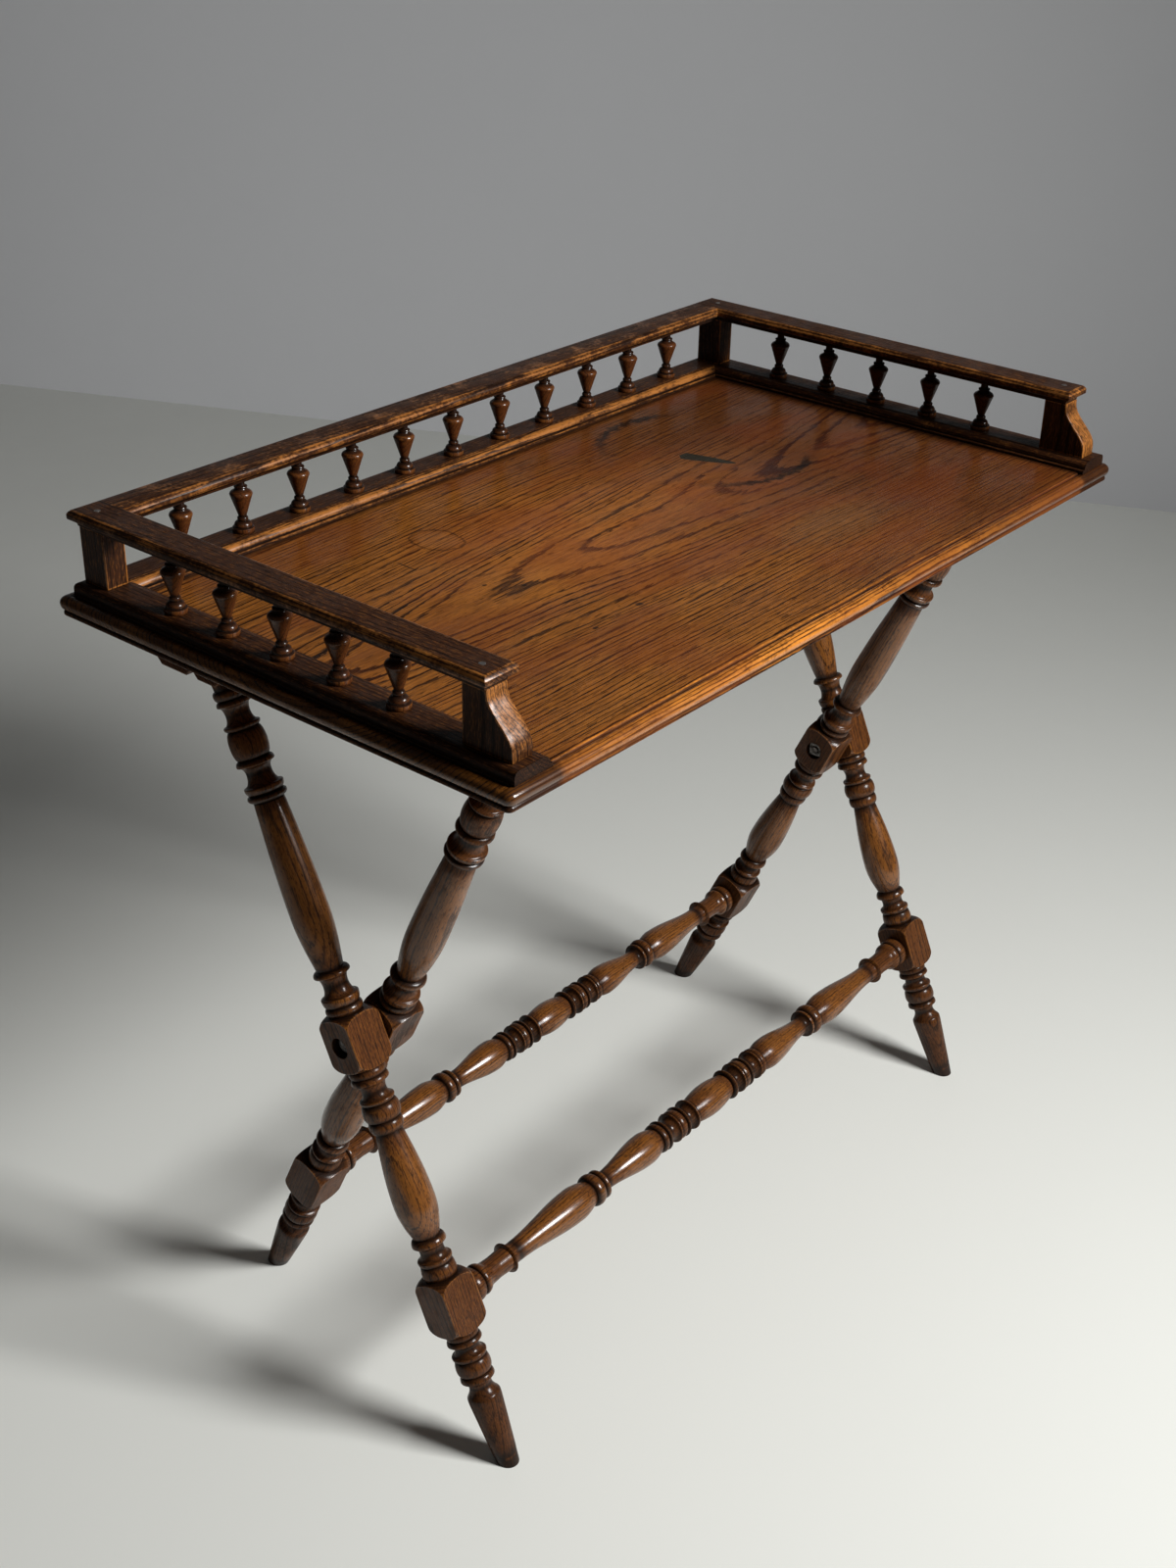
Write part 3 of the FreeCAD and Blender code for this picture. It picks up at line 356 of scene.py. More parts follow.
def tray_marks(bench, place, tone, dirt):
    """Old marks of the tray, not on its underside: a filled slot, a glass ring, a stain, dirt with painted shade
    along the soles, a darker right that is partly painted shade, and a painted sheen in the middle.
    """
    under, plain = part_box("tray_top")[0].z, tone
    flat = bench.scale(place, (1.0, 1.0, 0.0))
    x, y, z = bench.apart(place)
    beside = bench.sum("ABSOLUTE", x)
    shown = bench.ramp(z, under + 0.2 * MM, under + MM)
    waver = bench.sum("SUBTRACT", bench.noise(place, (120.0, 120.0, 0.0), 3.0, 0.6), 0.5)
    cloud = bench.noise(place, (5.0, 9.0, 0.0), 3.0, 0.55)
    # The tray darkens towards its right: partly painted shade, partly an older tone
    shade_and_age = bench.ramp(bench.times_plus(cloud, 0.5, x), *SHADE_AND_AGE_END, 0.0, 0.66)
    tone = bench.mix(shade_and_age, tone, screen(58, 26, 15))
    ruddy = bench.ramp(bench.noise(place, (7.0, 13.0, 3.0), 4.0, 0.6), 0.42, 0.62, 0.0, 0.4)
    tone = bench.mix(ruddy, tone, screen(104, 48, 20))
    bare = bench.ramp(distance(bench, flat, BARE_PATCH, (1.0, 1.9), waver, 0.12), 0.1, 0.0, 0.0, 0.22)
    tone = bench.mix(bare, tone, screen(140, 98, 58))
    # The middle of the tray is lightened: a painted sheen, also taken as wear
    light = bench.ramp(distance(bench, flat, PAINTED_SHEEN_MIDDLE, (0.8, 1.3)), 0.24, 0.03, 0.0, 0.3)
    tone = bench.mix(light, tone, (2.5, 2.4, 2.2), "MULTIPLY")
    nose = bench.times(bench.ramp(y, *NOSE), bench.ramp(beside, 0.1, 0.36, 0.0, 0.5))
    tone = bench.mix(nose, tone, screen(92, 50, 20))
    # The tray darkens towards the soles: dirt along the joint and painted shade
    edge = bench.sum("MAXIMUM", bench.ramp(beside, *SHADE_AND_DIRT_BESIDE), bench.ramp(y, *SHADE_AND_DIRT_BEHIND))
    edge = bench.times(edge, bench.ramp(bench.sum("ADD", edge, waver), 0.2, 1.0, 0.0, 0.75))
    tone = bench.mix(edge, tone, dirt)
    away = distance(bench, flat, GLASS_RING, (1.0, 0.8), waver, 0.008)
    tone = bench.mix(bench.ramp(away, 0.0185, 0.012, 0.0, 0.13), tone, screen(172, 122, 82))
    from_rim = bench.sum("ABSOLUTE", bench.sum("SUBTRACT", away, GLASS_RADIUS))
    tone = bench.mix(bench.ramp(from_rim, 0.0018, 0.0004, 0.0, 0.5), tone, dirt)
    for spot, reach, lean in SCRATCHES:
        along, across = along_mark(bench, flat, spot, lean)
        line = bench.ramp(bench.sum("ABSOLUTE", bench.times_plus(waver, 0.002, across)), 0.0013, 0.0004, 0.0, 0.8)
        line = bench.times(line, bench.ramp(bench.sum("ABSOLUTE", along), reach, 0.7 * reach))
        tone = bench.mix(line, tone, dirt)
    for spot, size in KNOTS:
        away = distance(bench, flat, spot, (0.6, 1.0), waver, 0.004)
        tone = bench.mix(bench.ramp(away, size, 0.3 * size, 0.0, 0.85), tone, dirt)
    away = distance(bench, flat, STAIN, (1.0, 1.0), waver, 0.02)
    stain = bench.ramp(bench.sum("ABSOLUTE", bench.sum("SUBTRACT", away, STAIN_RADIUS)), 0.0075, 0.001, 0.0, 0.85)
    tone = bench.mix(bench.times(stain, bench.ramp(x, 0.09, 0.15), bench.ramp(x, 0.25, 0.22)), tone, dirt)
    along, across = along_mark(bench, flat, SLOT, SLOT_LEAN)
    along = bench.sum("DIVIDE", along, SLOT_LENGTH)
    left = bench.sum("POWER", bench.sum("MAXIMUM", bench.sum("SUBTRACT", 1.0, along), 0.0), 0.45)
    width = bench.times(left, bench.ramp(along, -0.12, 0.0, 0.0, SLOT_HALF_WIDTH))
    width = bench.times_plus(waver, 0.002, width)
    slot = bench.ramp(bench.sum("SUBTRACT", width, bench.sum("ABSOLUTE", across)), -0.0002, 0.0005)
    slot = bench.times(slot, shown, bench.ramp(left, 0.0, 0.05))
    return bench.mix(slot, bench.mix(shown, plain, tone), screen(38, 33, 22)), slot


# Each oak: its colours, the width of its rings and how far they waver in millimetres, the size of its pores, how
# much of the lines, pores and flecks shows, its roughness, and the weight and roughness of the polish over it.

OAKS = {
    "tray_oak": {
        "late": "tray", "early": "tray_line", "rubbed": "tray_edge", "rings": 3.4, "waver": 8.0, "pores": 1.1,
        "lines": 0.95, "pore_share": 0.6, "fleck_share": 0.1, "gloss": 0.34, "shine": 0.3, "spread": 0.18},
    "gallery_oak": {
        "late": "gallery", "early": "gallery_line", "rubbed": "gallery_rubbed", "rings": 3.0, "waver": 4.0,
        "pores": 0.9, "lines": 0.7, "pore_share": 0.7, "fleck_share": 0.2, "gloss": 0.34, "shine": 0.18,
        "spread": 0.34},
    "spindle_oak": {
        "late": "spindle", "early": "gallery", "rubbed": "leg_rubbed", "rings": 2.4, "waver": 2.0, "pores": 0.6,
        "lines": 0.4, "pore_share": 0.6, "fleck_share": 0.3, "gloss": 0.3, "shine": 0.5, "spread": 0.2},
    "leg_oak": {
        "late": "leg", "early": "leg_line", "rubbed": "leg_rubbed", "rings": 2.6, "waver": 3.0, "pores": 0.6,
        "lines": 0.5, "pore_share": 0.7, "fleck_share": 0.4, "gloss": 0.32, "shine": 0.4, "spread": 0.2},
    "rail_oak": {
        "late": "rail", "early": "gallery_line", "rubbed": "leg_rubbed", "rings": 3.2, "waver": 4.0, "pores": 1.0,
        "lines": 0.8, "pore_share": 0.8, "fleck_share": 0.1, "gloss": 0.45, "shine": 0.05, "spread": 0.18},
}
METALS = {  # bright colour, tarnish and roughness
    "hinge_brass": ("brass", (84, 62, 38), 0.34),
    "pivot_steel": ("steel", (84, 78, 74), 0.5),
}
BUMP = {"Strength": 0.45, "Distance": 0.0004}
METAL_BUMP = {"Strength": 0.35, "Distance": 0.0002}


def oak(name, dirt, late, early, rubbed, rings, waver, pores, lines, pore_share, fleck_share, gloss, shine, spread,
        marks):
    """Polished oak, worn and dirty as the mesh says, and with the tray's marks if asked."""
    material, bench, shader = new_material(name)
    place = bench.node("ShaderNodeTexCoord").outputs["Object"]
    figure = bench.node("ShaderNodeGroup", {
        "Grain": bench.attribute("grain", "Vector"), "Ring Width": rings * MM, "Waver": waver * MM,
        "Pore Size": pores,
    }, node_tree=oak_figure()).outputs
    polish = bench.node("ShaderNodeGroup", {
        "Place": place, "Wear": bench.attribute("wear"), "Grime": bench.attribute("grime"),
    }, node_tree=old_polish()).outputs
    kept = bench.times_plus(polish["Rubbed"], -0.45, 1.0)
    ring_share = bench.times(figure["Rings"], lines, kept)
    shaded = tuple(value * share for value, share in zip(late, (0.62, 0.5, 0.42)))
    tone = bench.mix(bench.times(figure["Cloud"], 0.35), late, shaded)
    tone = bench.mix(bench.times(polish["Rubbed"], 0.85), tone, bench.mix(ring_share, rubbed, late))
    # Among these, the polish's dark share lays dirt and painted shade into hollows and joints
    for share, over in (
            (bench.times(figure["Flecks"], fleck_share), rubbed),
            (bench.times(figure["Specks"], 2.0 * fleck_share), early),
            (ring_share, early),
            (bench.times(figure["Fibre"], 0.12 + 0.34 * lines, kept), early),
            (bench.times(figure["Pores"], pore_share), tuple(value * 0.5 for value in early)),
            (bench.times(polish["Dirt"], 0.85), dirt)):
        tone = bench.mix(share, tone, over)
    height = bench.times_plus(polish["Knocks"], -0.6, figure["Height"])
    if marks:
        tone, slot = tray_marks(bench, place, tone, dirt)
        height = bench.times_plus(slot, -1.5, height)
    rough = bench.times_plus(polish["Smears"], 0.14, gloss)
    rough = bench.times_plus(figure["Pores"], 0.12, rough)
    rough = bench.times_plus(polish["Dirt"], 0.18, rough)
    coat = bench.ramp(polish["Smears"], 0.0, 1.0, shine, 0.4 * shine)
    bench.fill(shader.inputs, {
        "Base Color": tone, "Roughness": rough, "Coat Weight": bench.times_plus(polish["Rubbed"], 0.6, coat),
        "Normal": bench.node("ShaderNodeBump", {**BUMP, "Height": height}).outputs[0],
    })
    shader.inputs["Coat Roughness"].default_value = spread
    shader.inputs["Specular IOR Level"].default_value = 0.05
    return material


def old_metal(name, bright, dark, gloss):
    """Metal with tarnish, pits and scratches."""
    material, bench, shader = new_material(name)
    place = bench.node("ShaderNodeTexCoord").outputs["Object"]
    old = bench.node("ShaderNodeGroup", {"Place": place}, node_tree=tarnish()).outputs
    tone = bench.mix(old["Tarnish"], bright, dark)
    tone = bench.mix(bench.times(old["Pits"], 0.7), tone, tuple(value * 0.35 for value in dark))
    height = bench.times_plus(old["Pits"], -1.0, old["Scratches"])
    bench.fill(shader.inputs, {
        "Base Color": tone, "Roughness": bench.times_plus(old["Tarnish"], 0.25, gloss),
        "Normal": bench.node("ShaderNodeBump", {**METAL_BUMP, "Height": height}).outputs[0],
    })
    shader.inputs["Metallic"].default_value = 1.0
    return material


def finish_of(slot):
    """Material of a slot of the record."""
    name = slot.replace("_", " ").capitalize()
    if name in bpy.data.materials:
        return bpy.data.materials[name]
    tones = bpy.context.scene.tray_table_finishes
    if slot in METALS:
        bright, dark, gloss = METALS[slot]
        return old_metal(name, getattr(tones, bright)[:], screen(*dark), gloss)
    look = {key: getattr(tones, value)[:] if isinstance(value, str) else value for key, value in OAKS[slot].items()}
    return oak(name, tones.dirt[:], marks=slot == "tray_oak", **look)


# Meshes

BROAD = 120.0 * MM * MM
STRAIGHT = 0.98
DRIFT_LUMPS = 23.0
FLAT_WAYS = ((1, 0, 0), (-1, 0, 0), (0, 1, 0), (0, -1, 0))


def begin(node=None):
    """Mesh to work on, empty or copied from a node of the frame, with layers for grain, wear, and grime with
    painted shade.
    """
    mesh = bmesh.new()
    if node is not None:
        mesh.from_mesh(frame["nodes"][node].data)
        bmesh.ops.remove_doubles(mesh, verts=mesh.verts, dist=0.002 * MM)
        bmesh.ops.dissolve_limit(mesh, angle_limit=math.radians(0.6), verts=mesh.verts, edges=mesh.edges)
    mesh.verts.layers.float_vector.new("grain")
    mesh.verts.layers.float.new("wear")
    mesh.verts.layers.float.new("grime")
    return mesh


def mark(mesh, verts, wear, grime):
    """Write how rubbed some points are, and how dark they are with grime and painted shade."""
    wear_layer, grime_and_shade_layer = mesh.verts.layers.float["wear"], mesh.verts.layers.float["grime"]
    for vert in verts:
        vert[wear_layer], vert[grime_and_shade_layer] = wear, grime


def lay_grain(mesh, verts, along, pith):
    """Write the grain's own coordinates: z along it, x and y from the pith."""
    layer = mesh.verts.layers.float_vector["grain"]
    turn = Vector(along).to_track_quat("Z", "Y").inverted()
    for vert in verts:
        vert[layer] = turn @ (vert.co - Vector(pith))


def sort(things, kind):
    """Those of one kind among what an operator gave back."""
    return [thing for thing in things if isinstance(thing, kind)]


def put_away(mesh, name, body, slot, nodes=(), crease=33.0):
    """Close a mesh and make it a piece that rides a body and stands for its nodes."""
    bmesh.ops.remove_doubles(mesh, verts=mesh.verts, dist=0.001 * MM)
    bmesh.ops.recalc_face_normals(mesh, faces=mesh.faces)
    data = bpy.data.meshes.new(name)
    mesh.to_mesh(data)
    mesh.free()
    data.polygons.foreach_set("use_smooth", [True] * len(data.polygons))
    data.set_sharp_from_angle(angle=math.radians(crease))
    data.materials.append(finish_of(slot))
    piece = bpy.data.objects.new(name, data)
    bpy.context.scene.collection.objects.link(piece)
    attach(piece, body)
    if nodes:
        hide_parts(*nodes)
    return piece


def soften(mesh, size, shortest=2.0 * MM, sharp=30.0, segments=2, margin=0.0):
    """Round the sharp edges of a planed piece and rub them, but not the middles of its flats."""
    edges = [edge for edge in mesh.edges if len(edge.link_faces) == 2
             and edge.calc_face_angle(0.0) > math.radians(sharp) and edge.calc_length() > shortest]
    made = bmesh.ops.bevel(mesh, geom=edges, offset=size, segments=segments, profile=0.5, affect="EDGES",
                           material=-1, clamp_overlap=True, offset_type="OFFSET")
    mark(mesh, made["verts"], 1.0, 0.0)
    if margin:
        rounded = set(made["faces"])
        flats = [face for face in mesh.faces if face not in rounded and face.calc_area() > BROAD]
        bmesh.ops.inset_individual(mesh, faces=flats, thickness=margin, use_even_offset=True)
        mark(mesh, [vert for face in flats for vert in face.verts], 0.1, 0.1)


def divide(mesh, axis, step, shortest=20.0 * MM):
    """Divide the long edges that run along an axis."""
    edges = [edge for edge in mesh.edges if edge.calc_length() > shortest
             and abs((edge.verts[1].co - edge.verts[0].co)[axis]) > STRAIGHT * edge.calc_length()]
    if edges:
        cuts = max(1, round(max(edge.calc_length() for edge in edges) / step))
        bmesh.ops.subdivide_edges(mesh, edges=edges, cuts=cuts, use_grid_fill=True)


def wander(mesh, axes, amount, low, high, reach=12.0 * MM):
    """Let the outer surfaces wander a little inward, as on old hand work."""
    for vert in mesh.verts:
        for axis in axes:
            drift = 0.5 + 0.5 * noise.noise(vert.co * DRIFT_LUMPS + Vector((axis * 7.0, 0.0, 3.0)))
            drift = amount * min(1.0, max(0.0, drift))
            if vert.co[axis] - low[axis] < reach:
                vert.co[axis] += drift
            elif high[axis] - vert.co[axis] < reach:
                vert.co[axis] -= drift


# Turning. A knot of an outline is how far along it lies and its radius, both in millimetres, and its kind.
# A kind gives how the outline meets it, how rubbed it is, and how dark it is with dirt and painted shade.

KINDS = {
    "bead": ("flat", 0.6, 0.05),
    "swell": ("flat", 1.0, 0.0),
    "neck": ("flat", 0.0, 0.9),
    "rim": ("flat", 0.75, 0.0),
    "tip": ("steep", 0.3, 0.45),
    "dip": ("steep", 0.0, 1.0),
    "edge": ("slope", 0.5, 0.2),
}
RIM_TIP = 1.1
# How far the dark of a hollow, which is dirt and painted shade, reaches along a turning, in millimetres
DIRT_AND_SHADE_REACH = 3.8
RUB_REACH = 7.0

CURVES = {
    ("flat", "flat"): lambda t: (t, (1.0 - math.cos(math.pi * t)) / 2.0),
    ("flat", "steep"): lambda t: (math.sin(math.pi * t / 2.0), 1.0 - math.cos(math.pi * t / 2.0)),
    ("steep", "flat"): lambda t: (1.0 - math.cos(math.pi * t / 2.0), math.sin(math.pi * t / 2.0)),
    ("slope", "flat"): lambda t: (t, math.sin(math.pi * t / 2.0)),
    ("flat", "slope"): lambda t: (t, 1.0 - math.cos(math.pi * t / 2.0)),
}


def with_tips(knots):
    """Round the lip of each rim where it stands over a neck."""
    result = []
    for index, (along, radius, kind) in enumerate(knots):
        near = [knots[other] if 0 <= other < len(knots) else None for other in (index - 1, index + 1)]
        if kind == "rim" and near[0] and near[0][2] == "neck":
            result.append((along - RIM_TIP, radius - RIM_TIP, "tip"))
        result.append((along, radius, kind))
        if kind == "rim" and near[1] and near[1][2] == "neck":
            result.append((along + RIM_TIP, radius - RIM_TIP, "tip"))
    return result


def turned_line(knots, step=1.4):
    """Points of a turned outline: along, radius, wear, and grime with painted shade."""
    knots = with_tips(knots)
    along, radius, kind = knots[0]
    points = [(along, radius, *KINDS[kind][1:])]
    for first, last in zip(knots, knots[1:]):
        ways = []
        for knot, other in ((first, last), (last, first)):
            way = KINDS[knot[2]][0]
            ways.append("slope" if way == "steep" and other[2] == "swell" else way)
        curve = CURVES.get(tuple(ways), lambda t: (t, t))
        rise, swell = last[0] - first[0], last[1] - first[1]
        count = 1 if not swell else min(9, max(3, round(math.hypot(rise, swell) / step)))
        wears, dirts_and_shade = zip(KINDS[first[2]][1:], KINDS[last[2]][1:])
        for index in range(1, count + 1):
            forward, out = curve(index / count)
            near = [math.exp(-abs(rise) * share / DIRT_AND_SHADE_REACH) for share in (forward, 1.0 - forward)]
            if "swell" in (first[2], last[2]):
                inward = forward if last[2] == "swell" else 1.0 - forward
                worn = max(wears) * (1.0 - math.exp(-abs(rise) * inward / RUB_REACH))
            else:
                worn = wears[0] + (wears[1] - wears[0]) * out
            points.append((first[0] + rise * forward, first[1] + swell * out, worn,
                           dirts_and_shade[0] * near[0] + dirts_and_shade[1] * near[1]))
    return points


def turn_on_lathe(mesh, points, steps):
    """Turn an outline, in millimetres, about Z. Its ends close on the axis."""
    line = [(points[0][0], 0.0, *points[0][2:]), *points, (points[-1][0], 0.0, *points[-1][2:])]
    verts = []
    for along, radius, wear, grime in line:
        vert = mesh.verts.new((radius * MM, 0.0, along * MM))
        mark(mesh, [vert], wear, grime)
        verts.append(vert)
    edges = [mesh.edges.new(pair) for pair in zip(verts, verts[1:])]
    bmesh.ops.spin(mesh, geom=verts + edges, cent=(0, 0, 0), axis=(0, 0, 1), dvec=(0, 0, 0),
                   angle=2.0 * math.pi, steps=steps, use_merge=True, use_duplicate=False)
    bmesh.ops.remove_doubles(mesh, verts=mesh.verts, dist=0.002 * MM)


def lay_across(mesh, middle, side=1):
    """Bring what was turned about Z to lie along X, at its place."""
    matrix = Matrix.Translation(middle) @ Matrix.Rotation(side * math.pi / 2.0, 4, "Y")
    bmesh.ops.transform(mesh, matrix=matrix, verts=mesh.verts)


LEG_SQUARE = 36.0
BLOCK_NECK = 13.0
BLOCK_CORNER = 25.1
SHOULDER = 9.5
PIVOT_BLOCK = 48.0
FOOT_BLOCK = 51.0
FOOT_BLOCK_DROP = 241.6
BORE_MOUTH, BORE_DEPTH = 17.6 * MM, 9.0 * MM
BORE_CHAMFER = 0.5 * MM
FOOT_DIRT, FOOT_DIRT_TOP, FOOT_DIRT_REACH = 0.55, 190.0 * MM, 120.0 * MM
FOOT_END = 8.0 * MM

UPPER_TURNING = (
    (28, 15.6, "bead"), (31.5, 13.2, "dip"), (38.5, 15.8, "rim"), (49, 10.4, "neck"), (58.5, 15.3, "rim"),
    (62.5, 11.2, "dip"), (110, 16.2, "swell"), (206, 12.6, "edge"), (207.5, 12.2, "dip"), (211, 16.1, "bead"),
    (213.5, 12.8, "dip"), (219, 16, "rim"), (230, 10.2, "neck"), (238, 15.5, "rim"), (242, 12, "dip"),
    (254, 15.3, "bead"), (266, 11.6, "dip"), (269, 14.7, "rim"), (278, 9.8, "neck"), (287, 14, "rim"),
    (290.5, 11.3, "dip"), (295.7, 14, "bead"), (299, 11.5, "dip"), (312, 12.5, "edge"), (336, 12.7, "edge"),
)
LOWER_TURNING = (
    (28, 15.6, "bead"), (31.6, 13.2, "dip"), (36, 15.9, "rim"), (45.4, 10.3, "neck"), (52.6, 14.8, "rim"),
    (55.6, 12.4, "dip"), (63.5, 16, "bead"), (70.8, 12.6, "dip"), (76, 14.6, "bead"), (81.5, 11.4, "dip"),
    (148, 17.8, "swell"), (179, 11.3, "dip"), (184.7, 14.9, "rim"), (192, 10.4, "neck"), (199.5, 14.9, "rim"),
    (203.5, 12.6, "dip"), (212, 15, "bead"),
)
FOOT_TURNING = (
    (271, 14.2, "bead"), (273.8, 12.6, "dip"), (277.4, 15.3, "rim"), (282.5, 10.6, "neck"),
    (289.8, 15.2, "rim"), (293.5, 12.6, "dip"), (301.8, 15.4, "bead"), (308, 12.2, "dip"), (312.7, 15, "rim"),
    (320, 10, "neck"), (326.8, 12.7, "edge"), (330, 14.6, "bead"), (334, 14.6, "edge"), (384, 10.6, "edge"),
    (386, 10.3, "dip"), (408, 8.4, "edge"),
)
STRETCHER_TURNING = (
    (26, 12, "edge"), (27.5, 10.5, "dip"), (30, 15.2, "rim"), (37, 8.8, "neck"), (44, 15.3, "rim"),
    (45.6, 12, "dip"), (50, 14.6, "bead"), (54.4, 12, "dip"), (56, 15, "rim"), (63.5, 9, "neck"),
    (71, 14.9, "rim"), (72.8, 11.6, "dip"), (76.5, 14.4, "bead"), (80.2, 11.6, "dip"), (97, 15.3, "swell"),
    (155, 8.8, "neck"), (160, 14, "rim"), (164, 10.5, "dip"), (170.5, 15.3, "bead"), (176, 11.6, "dip"),
    (197, 15.8, "swell"), (275, 9.4, "neck"), (283, 10.2, "edge"), (284.6, 14, "bead"), (286.2, 10.8, "edge"),
    (300, 10.2, "edge"), (310, 10.8, "edge"), (313, 11.6, "edge"), (319, 14.4, "rim"), (322, 12, "dip"),
    (328, 15.2, "bead"), (334, 12.5, "dip"),
)
STRETCHER_HALF = 335.0
SPINDLE_TURNING = (
    (0, 8.3, "edge"), (0.9, 8.9, "edge"), (3.4, 9, "rim"), (4.6, 7.2, "dip"), (5, 7.4, "bead"),
    (9.4, 3.6, "dip"), (11.3, 4.5, "bead"), (13, 3.1, "dip"), (30.6, 8.9, "edge"), (32.3, 9.4, "bead"),
    (34.3, 8.3, "edge"), (37.4, 4.9, "neck"), (38.4, 5.5, "bead"), (39.5, 3.6, "dip"), (43, 3.4, "neck"),
    (46, 4.4, "edge"),
)


def mirrored(knots):
    """The same knots the other way from the start."""
    return [(-along, radius, kind) for along, radius, kind in reversed(knots)]


def block_knots(middle, size):
    """Shoulders of a square block, turned down from its corners."""
    low, high = middle - size / 2.0, middle + size / 2.0
    return [(low, BLOCK_NECK, "dip"), (low + SHOULDER, BLOCK_CORNER, "bead"),
            (high - SHOULDER, BLOCK_CORNER, "bead"), (high, BLOCK_NECK, "dip")]


def plane_flats(mesh, middle, size, margin):
    """Plane the four flats of a block, and give back the flat faces by their directions."""
    low, high = (middle - size / 2.0) * MM, (middle + size / 2.0) * MM
    half = LEG_SQUARE / 2.0 * MM
    flats = {}
    for direction in FLAT_WAYS:
        normal = Vector(direction)
        verts = {vert for vert in mesh.verts if low - 0.1 * MM < vert.co.z < high + 0.1 * MM}
        edges = {edge for edge in mesh.edges if all(vert in verts for vert in edge.verts)}
        faces = {face for face in mesh.faces if all(vert in verts for vert in face.verts)}
        cut = bmesh.ops.bisect_plane(mesh, geom=[*verts, *edges, *faces], dist=0.001 * MM,
                                     plane_co=normal * half, plane_no=normal, clear_outer=True)
        loop = sort(cut["geom_cut"], bmesh.types.BMEdge)
        made = bmesh.ops.edgeloop_fill(mesh, edges=[edge for edge in loop if edge.is_boundary])
        if not made["faces"]:
            raise RuntimeError("a flat of a leg's block was not closed")
    for direction in FLAT_WAYS:
        normal = Vector(direction)
        flat = max((face for face in mesh.faces if low < face.calc_center_median().z < high
                    and abs(face.calc_center_median().dot(normal) - half) < 0.01 * MM),
                   key=lambda face: face.calc_area())
        mark(mesh, flat.verts, 1.0, 0.0)
        bmesh.ops.inset_region(mesh, faces=[flat], thickness=margin, use_even_offset=True, use_boundary=True)
        mark(mesh, flat.verts, 0.25, 0.15)
        flats[direction] = flat
    return flats


def bore(mesh, flat, normal, width, depth, steps=32):
    """Bore a round recess with a softened mouth into a flat face."""
    edges = list(flat.edges)
    plane = flat.calc_center_median().dot(normal)
    bmesh.ops.delete(mesh, geom=[flat], context="FACES_ONLY")
    turn = normal.to_track_quat("Z", "Y").to_matrix().to_4x4()
    ring = bmesh.ops.create_circle(mesh, segments=steps, radius=width / 2.0 + BORE_CHAMFER,
                                   matrix=Matrix.Translation(normal * plane) @ turn)["verts"]
    circle = [edge for edge in mesh.edges if all(vert in ring for vert in edge.verts)]
    mark(mesh, ring, 0.2, 0.4)
    bmesh.ops.triangle_fill(mesh, edges=edges + circle, use_beauty=True)
    # Deeper in, the recess gets darker: painted shade
    for inward, wear, grime in ((BORE_CHAMFER, 0.1, 0.6), (depth, 0.0, 0.9)):
        made = bmesh.ops.extrude_edge_only(mesh, edges=circle)["geom"]
        ring = sort(made, bmesh.types.BMVert)
        circle = [edge for edge in sort(made, bmesh.types.BMEdge) if all(vert in ring for vert in edge.verts)]
        for vert in ring:
            across = vert.co - normal * vert.co.dot(normal)
            vert.co = across.normalized() * width / 2.0 + normal * (plane - inward)
        mark(mesh, ring, wear, grime)
    bmesh.ops.edgeloop_fill(mesh, edges=circle)


def level(mesh, height, upward):
    """Saw off what is above or below a level, and close the cut."""
    cut = bmesh.ops.bisect_plane(mesh, geom=[*mesh.verts, *mesh.edges, *mesh.faces], dist=0.001 * MM,
                                 plane_co=(0, 0, height), plane_no=(0, 0, upward), clear_outer=True)
    loop = sort(cut["geom_cut"], bmesh.types.BMEdge)
    made = bmesh.ops.edgeloop_fill(mesh, edges=[edge for edge in loop if edge.is_boundary])
    mark(mesh, [vert for face in made["faces"] for vert in face.verts], 0.2, 0.8)


def pivot():
    """Middle of the crossing of the legs."""
    joint = next(joint for joint in frame["joints"] if joint["name"] == "leg_fold")
    return Vector(joint["pos_m"])


def lean_of(stretcher):
    """Angle and direction that a pair of legs leans, from its stretcher. A plus puts the tops at the back."""
    low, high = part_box(stretcher)
    drop = pivot() - (low + high) / 2.0
    return math.atan2(drop.y, drop.z)


def leg(node, stretcher, rail, recess, pith):
    """Turned leg with its square blocks, bored for the bolt and cut level at both ends."""
    sizes = bpy.context.scene.tray_table_sizes
    mesh = begin()
    knots = mirrored(FOOT_TURNING) + block_knots(-FOOT_BLOCK_DROP, FOOT_BLOCK) + mirrored(LOWER_TURNING)
    knots += block_knots(0.0, PIVOT_BLOCK) + list(UPPER_TURNING)
    turn_on_lathe(mesh, turned_line(knots), sizes.turning_steps)
    plane_flats(mesh, -FOOT_BLOCK_DROP, FOOT_BLOCK, sizes.worn_margin)
    flats = plane_flats(mesh, 0.0, PIVOT_BLOCK, sizes.worn_margin)
    bore(mesh, flats[(recess, 0, 0)], Vector((recess, 0, 0)), BORE_MOUTH, BORE_DEPTH)
    low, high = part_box(node)
    lean = lean_of(stretcher)
    middle = Vector(((low.x + high.x) / 2.0, pivot().y, pivot().z))
    bmesh.ops.transform(mesh, matrix=Matrix.Translation(middle) @ Matrix.Rotation(-lean, 4, "X"), verts=mesh.verts)
    level(mesh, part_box(rail)[0].z, 1)
    level(mesh, 0.0, -1)
    wear, grime = mesh.verts.layers.float["wear"], mesh.verts.layers.float["grime"]
    for vert in mesh.verts:
        low_down = FOOT_DIRT * min(1.0, max(0.0, (FOOT_DIRT_TOP - vert.co.z) / FOOT_DIRT_REACH))
        vert[grime] = 1.0 if vert.co.z < FOOT_END else max(vert[grime], low_down)
        vert[wear] *= 1.0 - low_down
    along = Matrix.Rotation(-lean, 3, "X") @ Vector((0.02, 0.015, 1.0))
    lay_grain(mesh, mesh.verts, along, middle + Vector(pith) * MM)
    return mesh
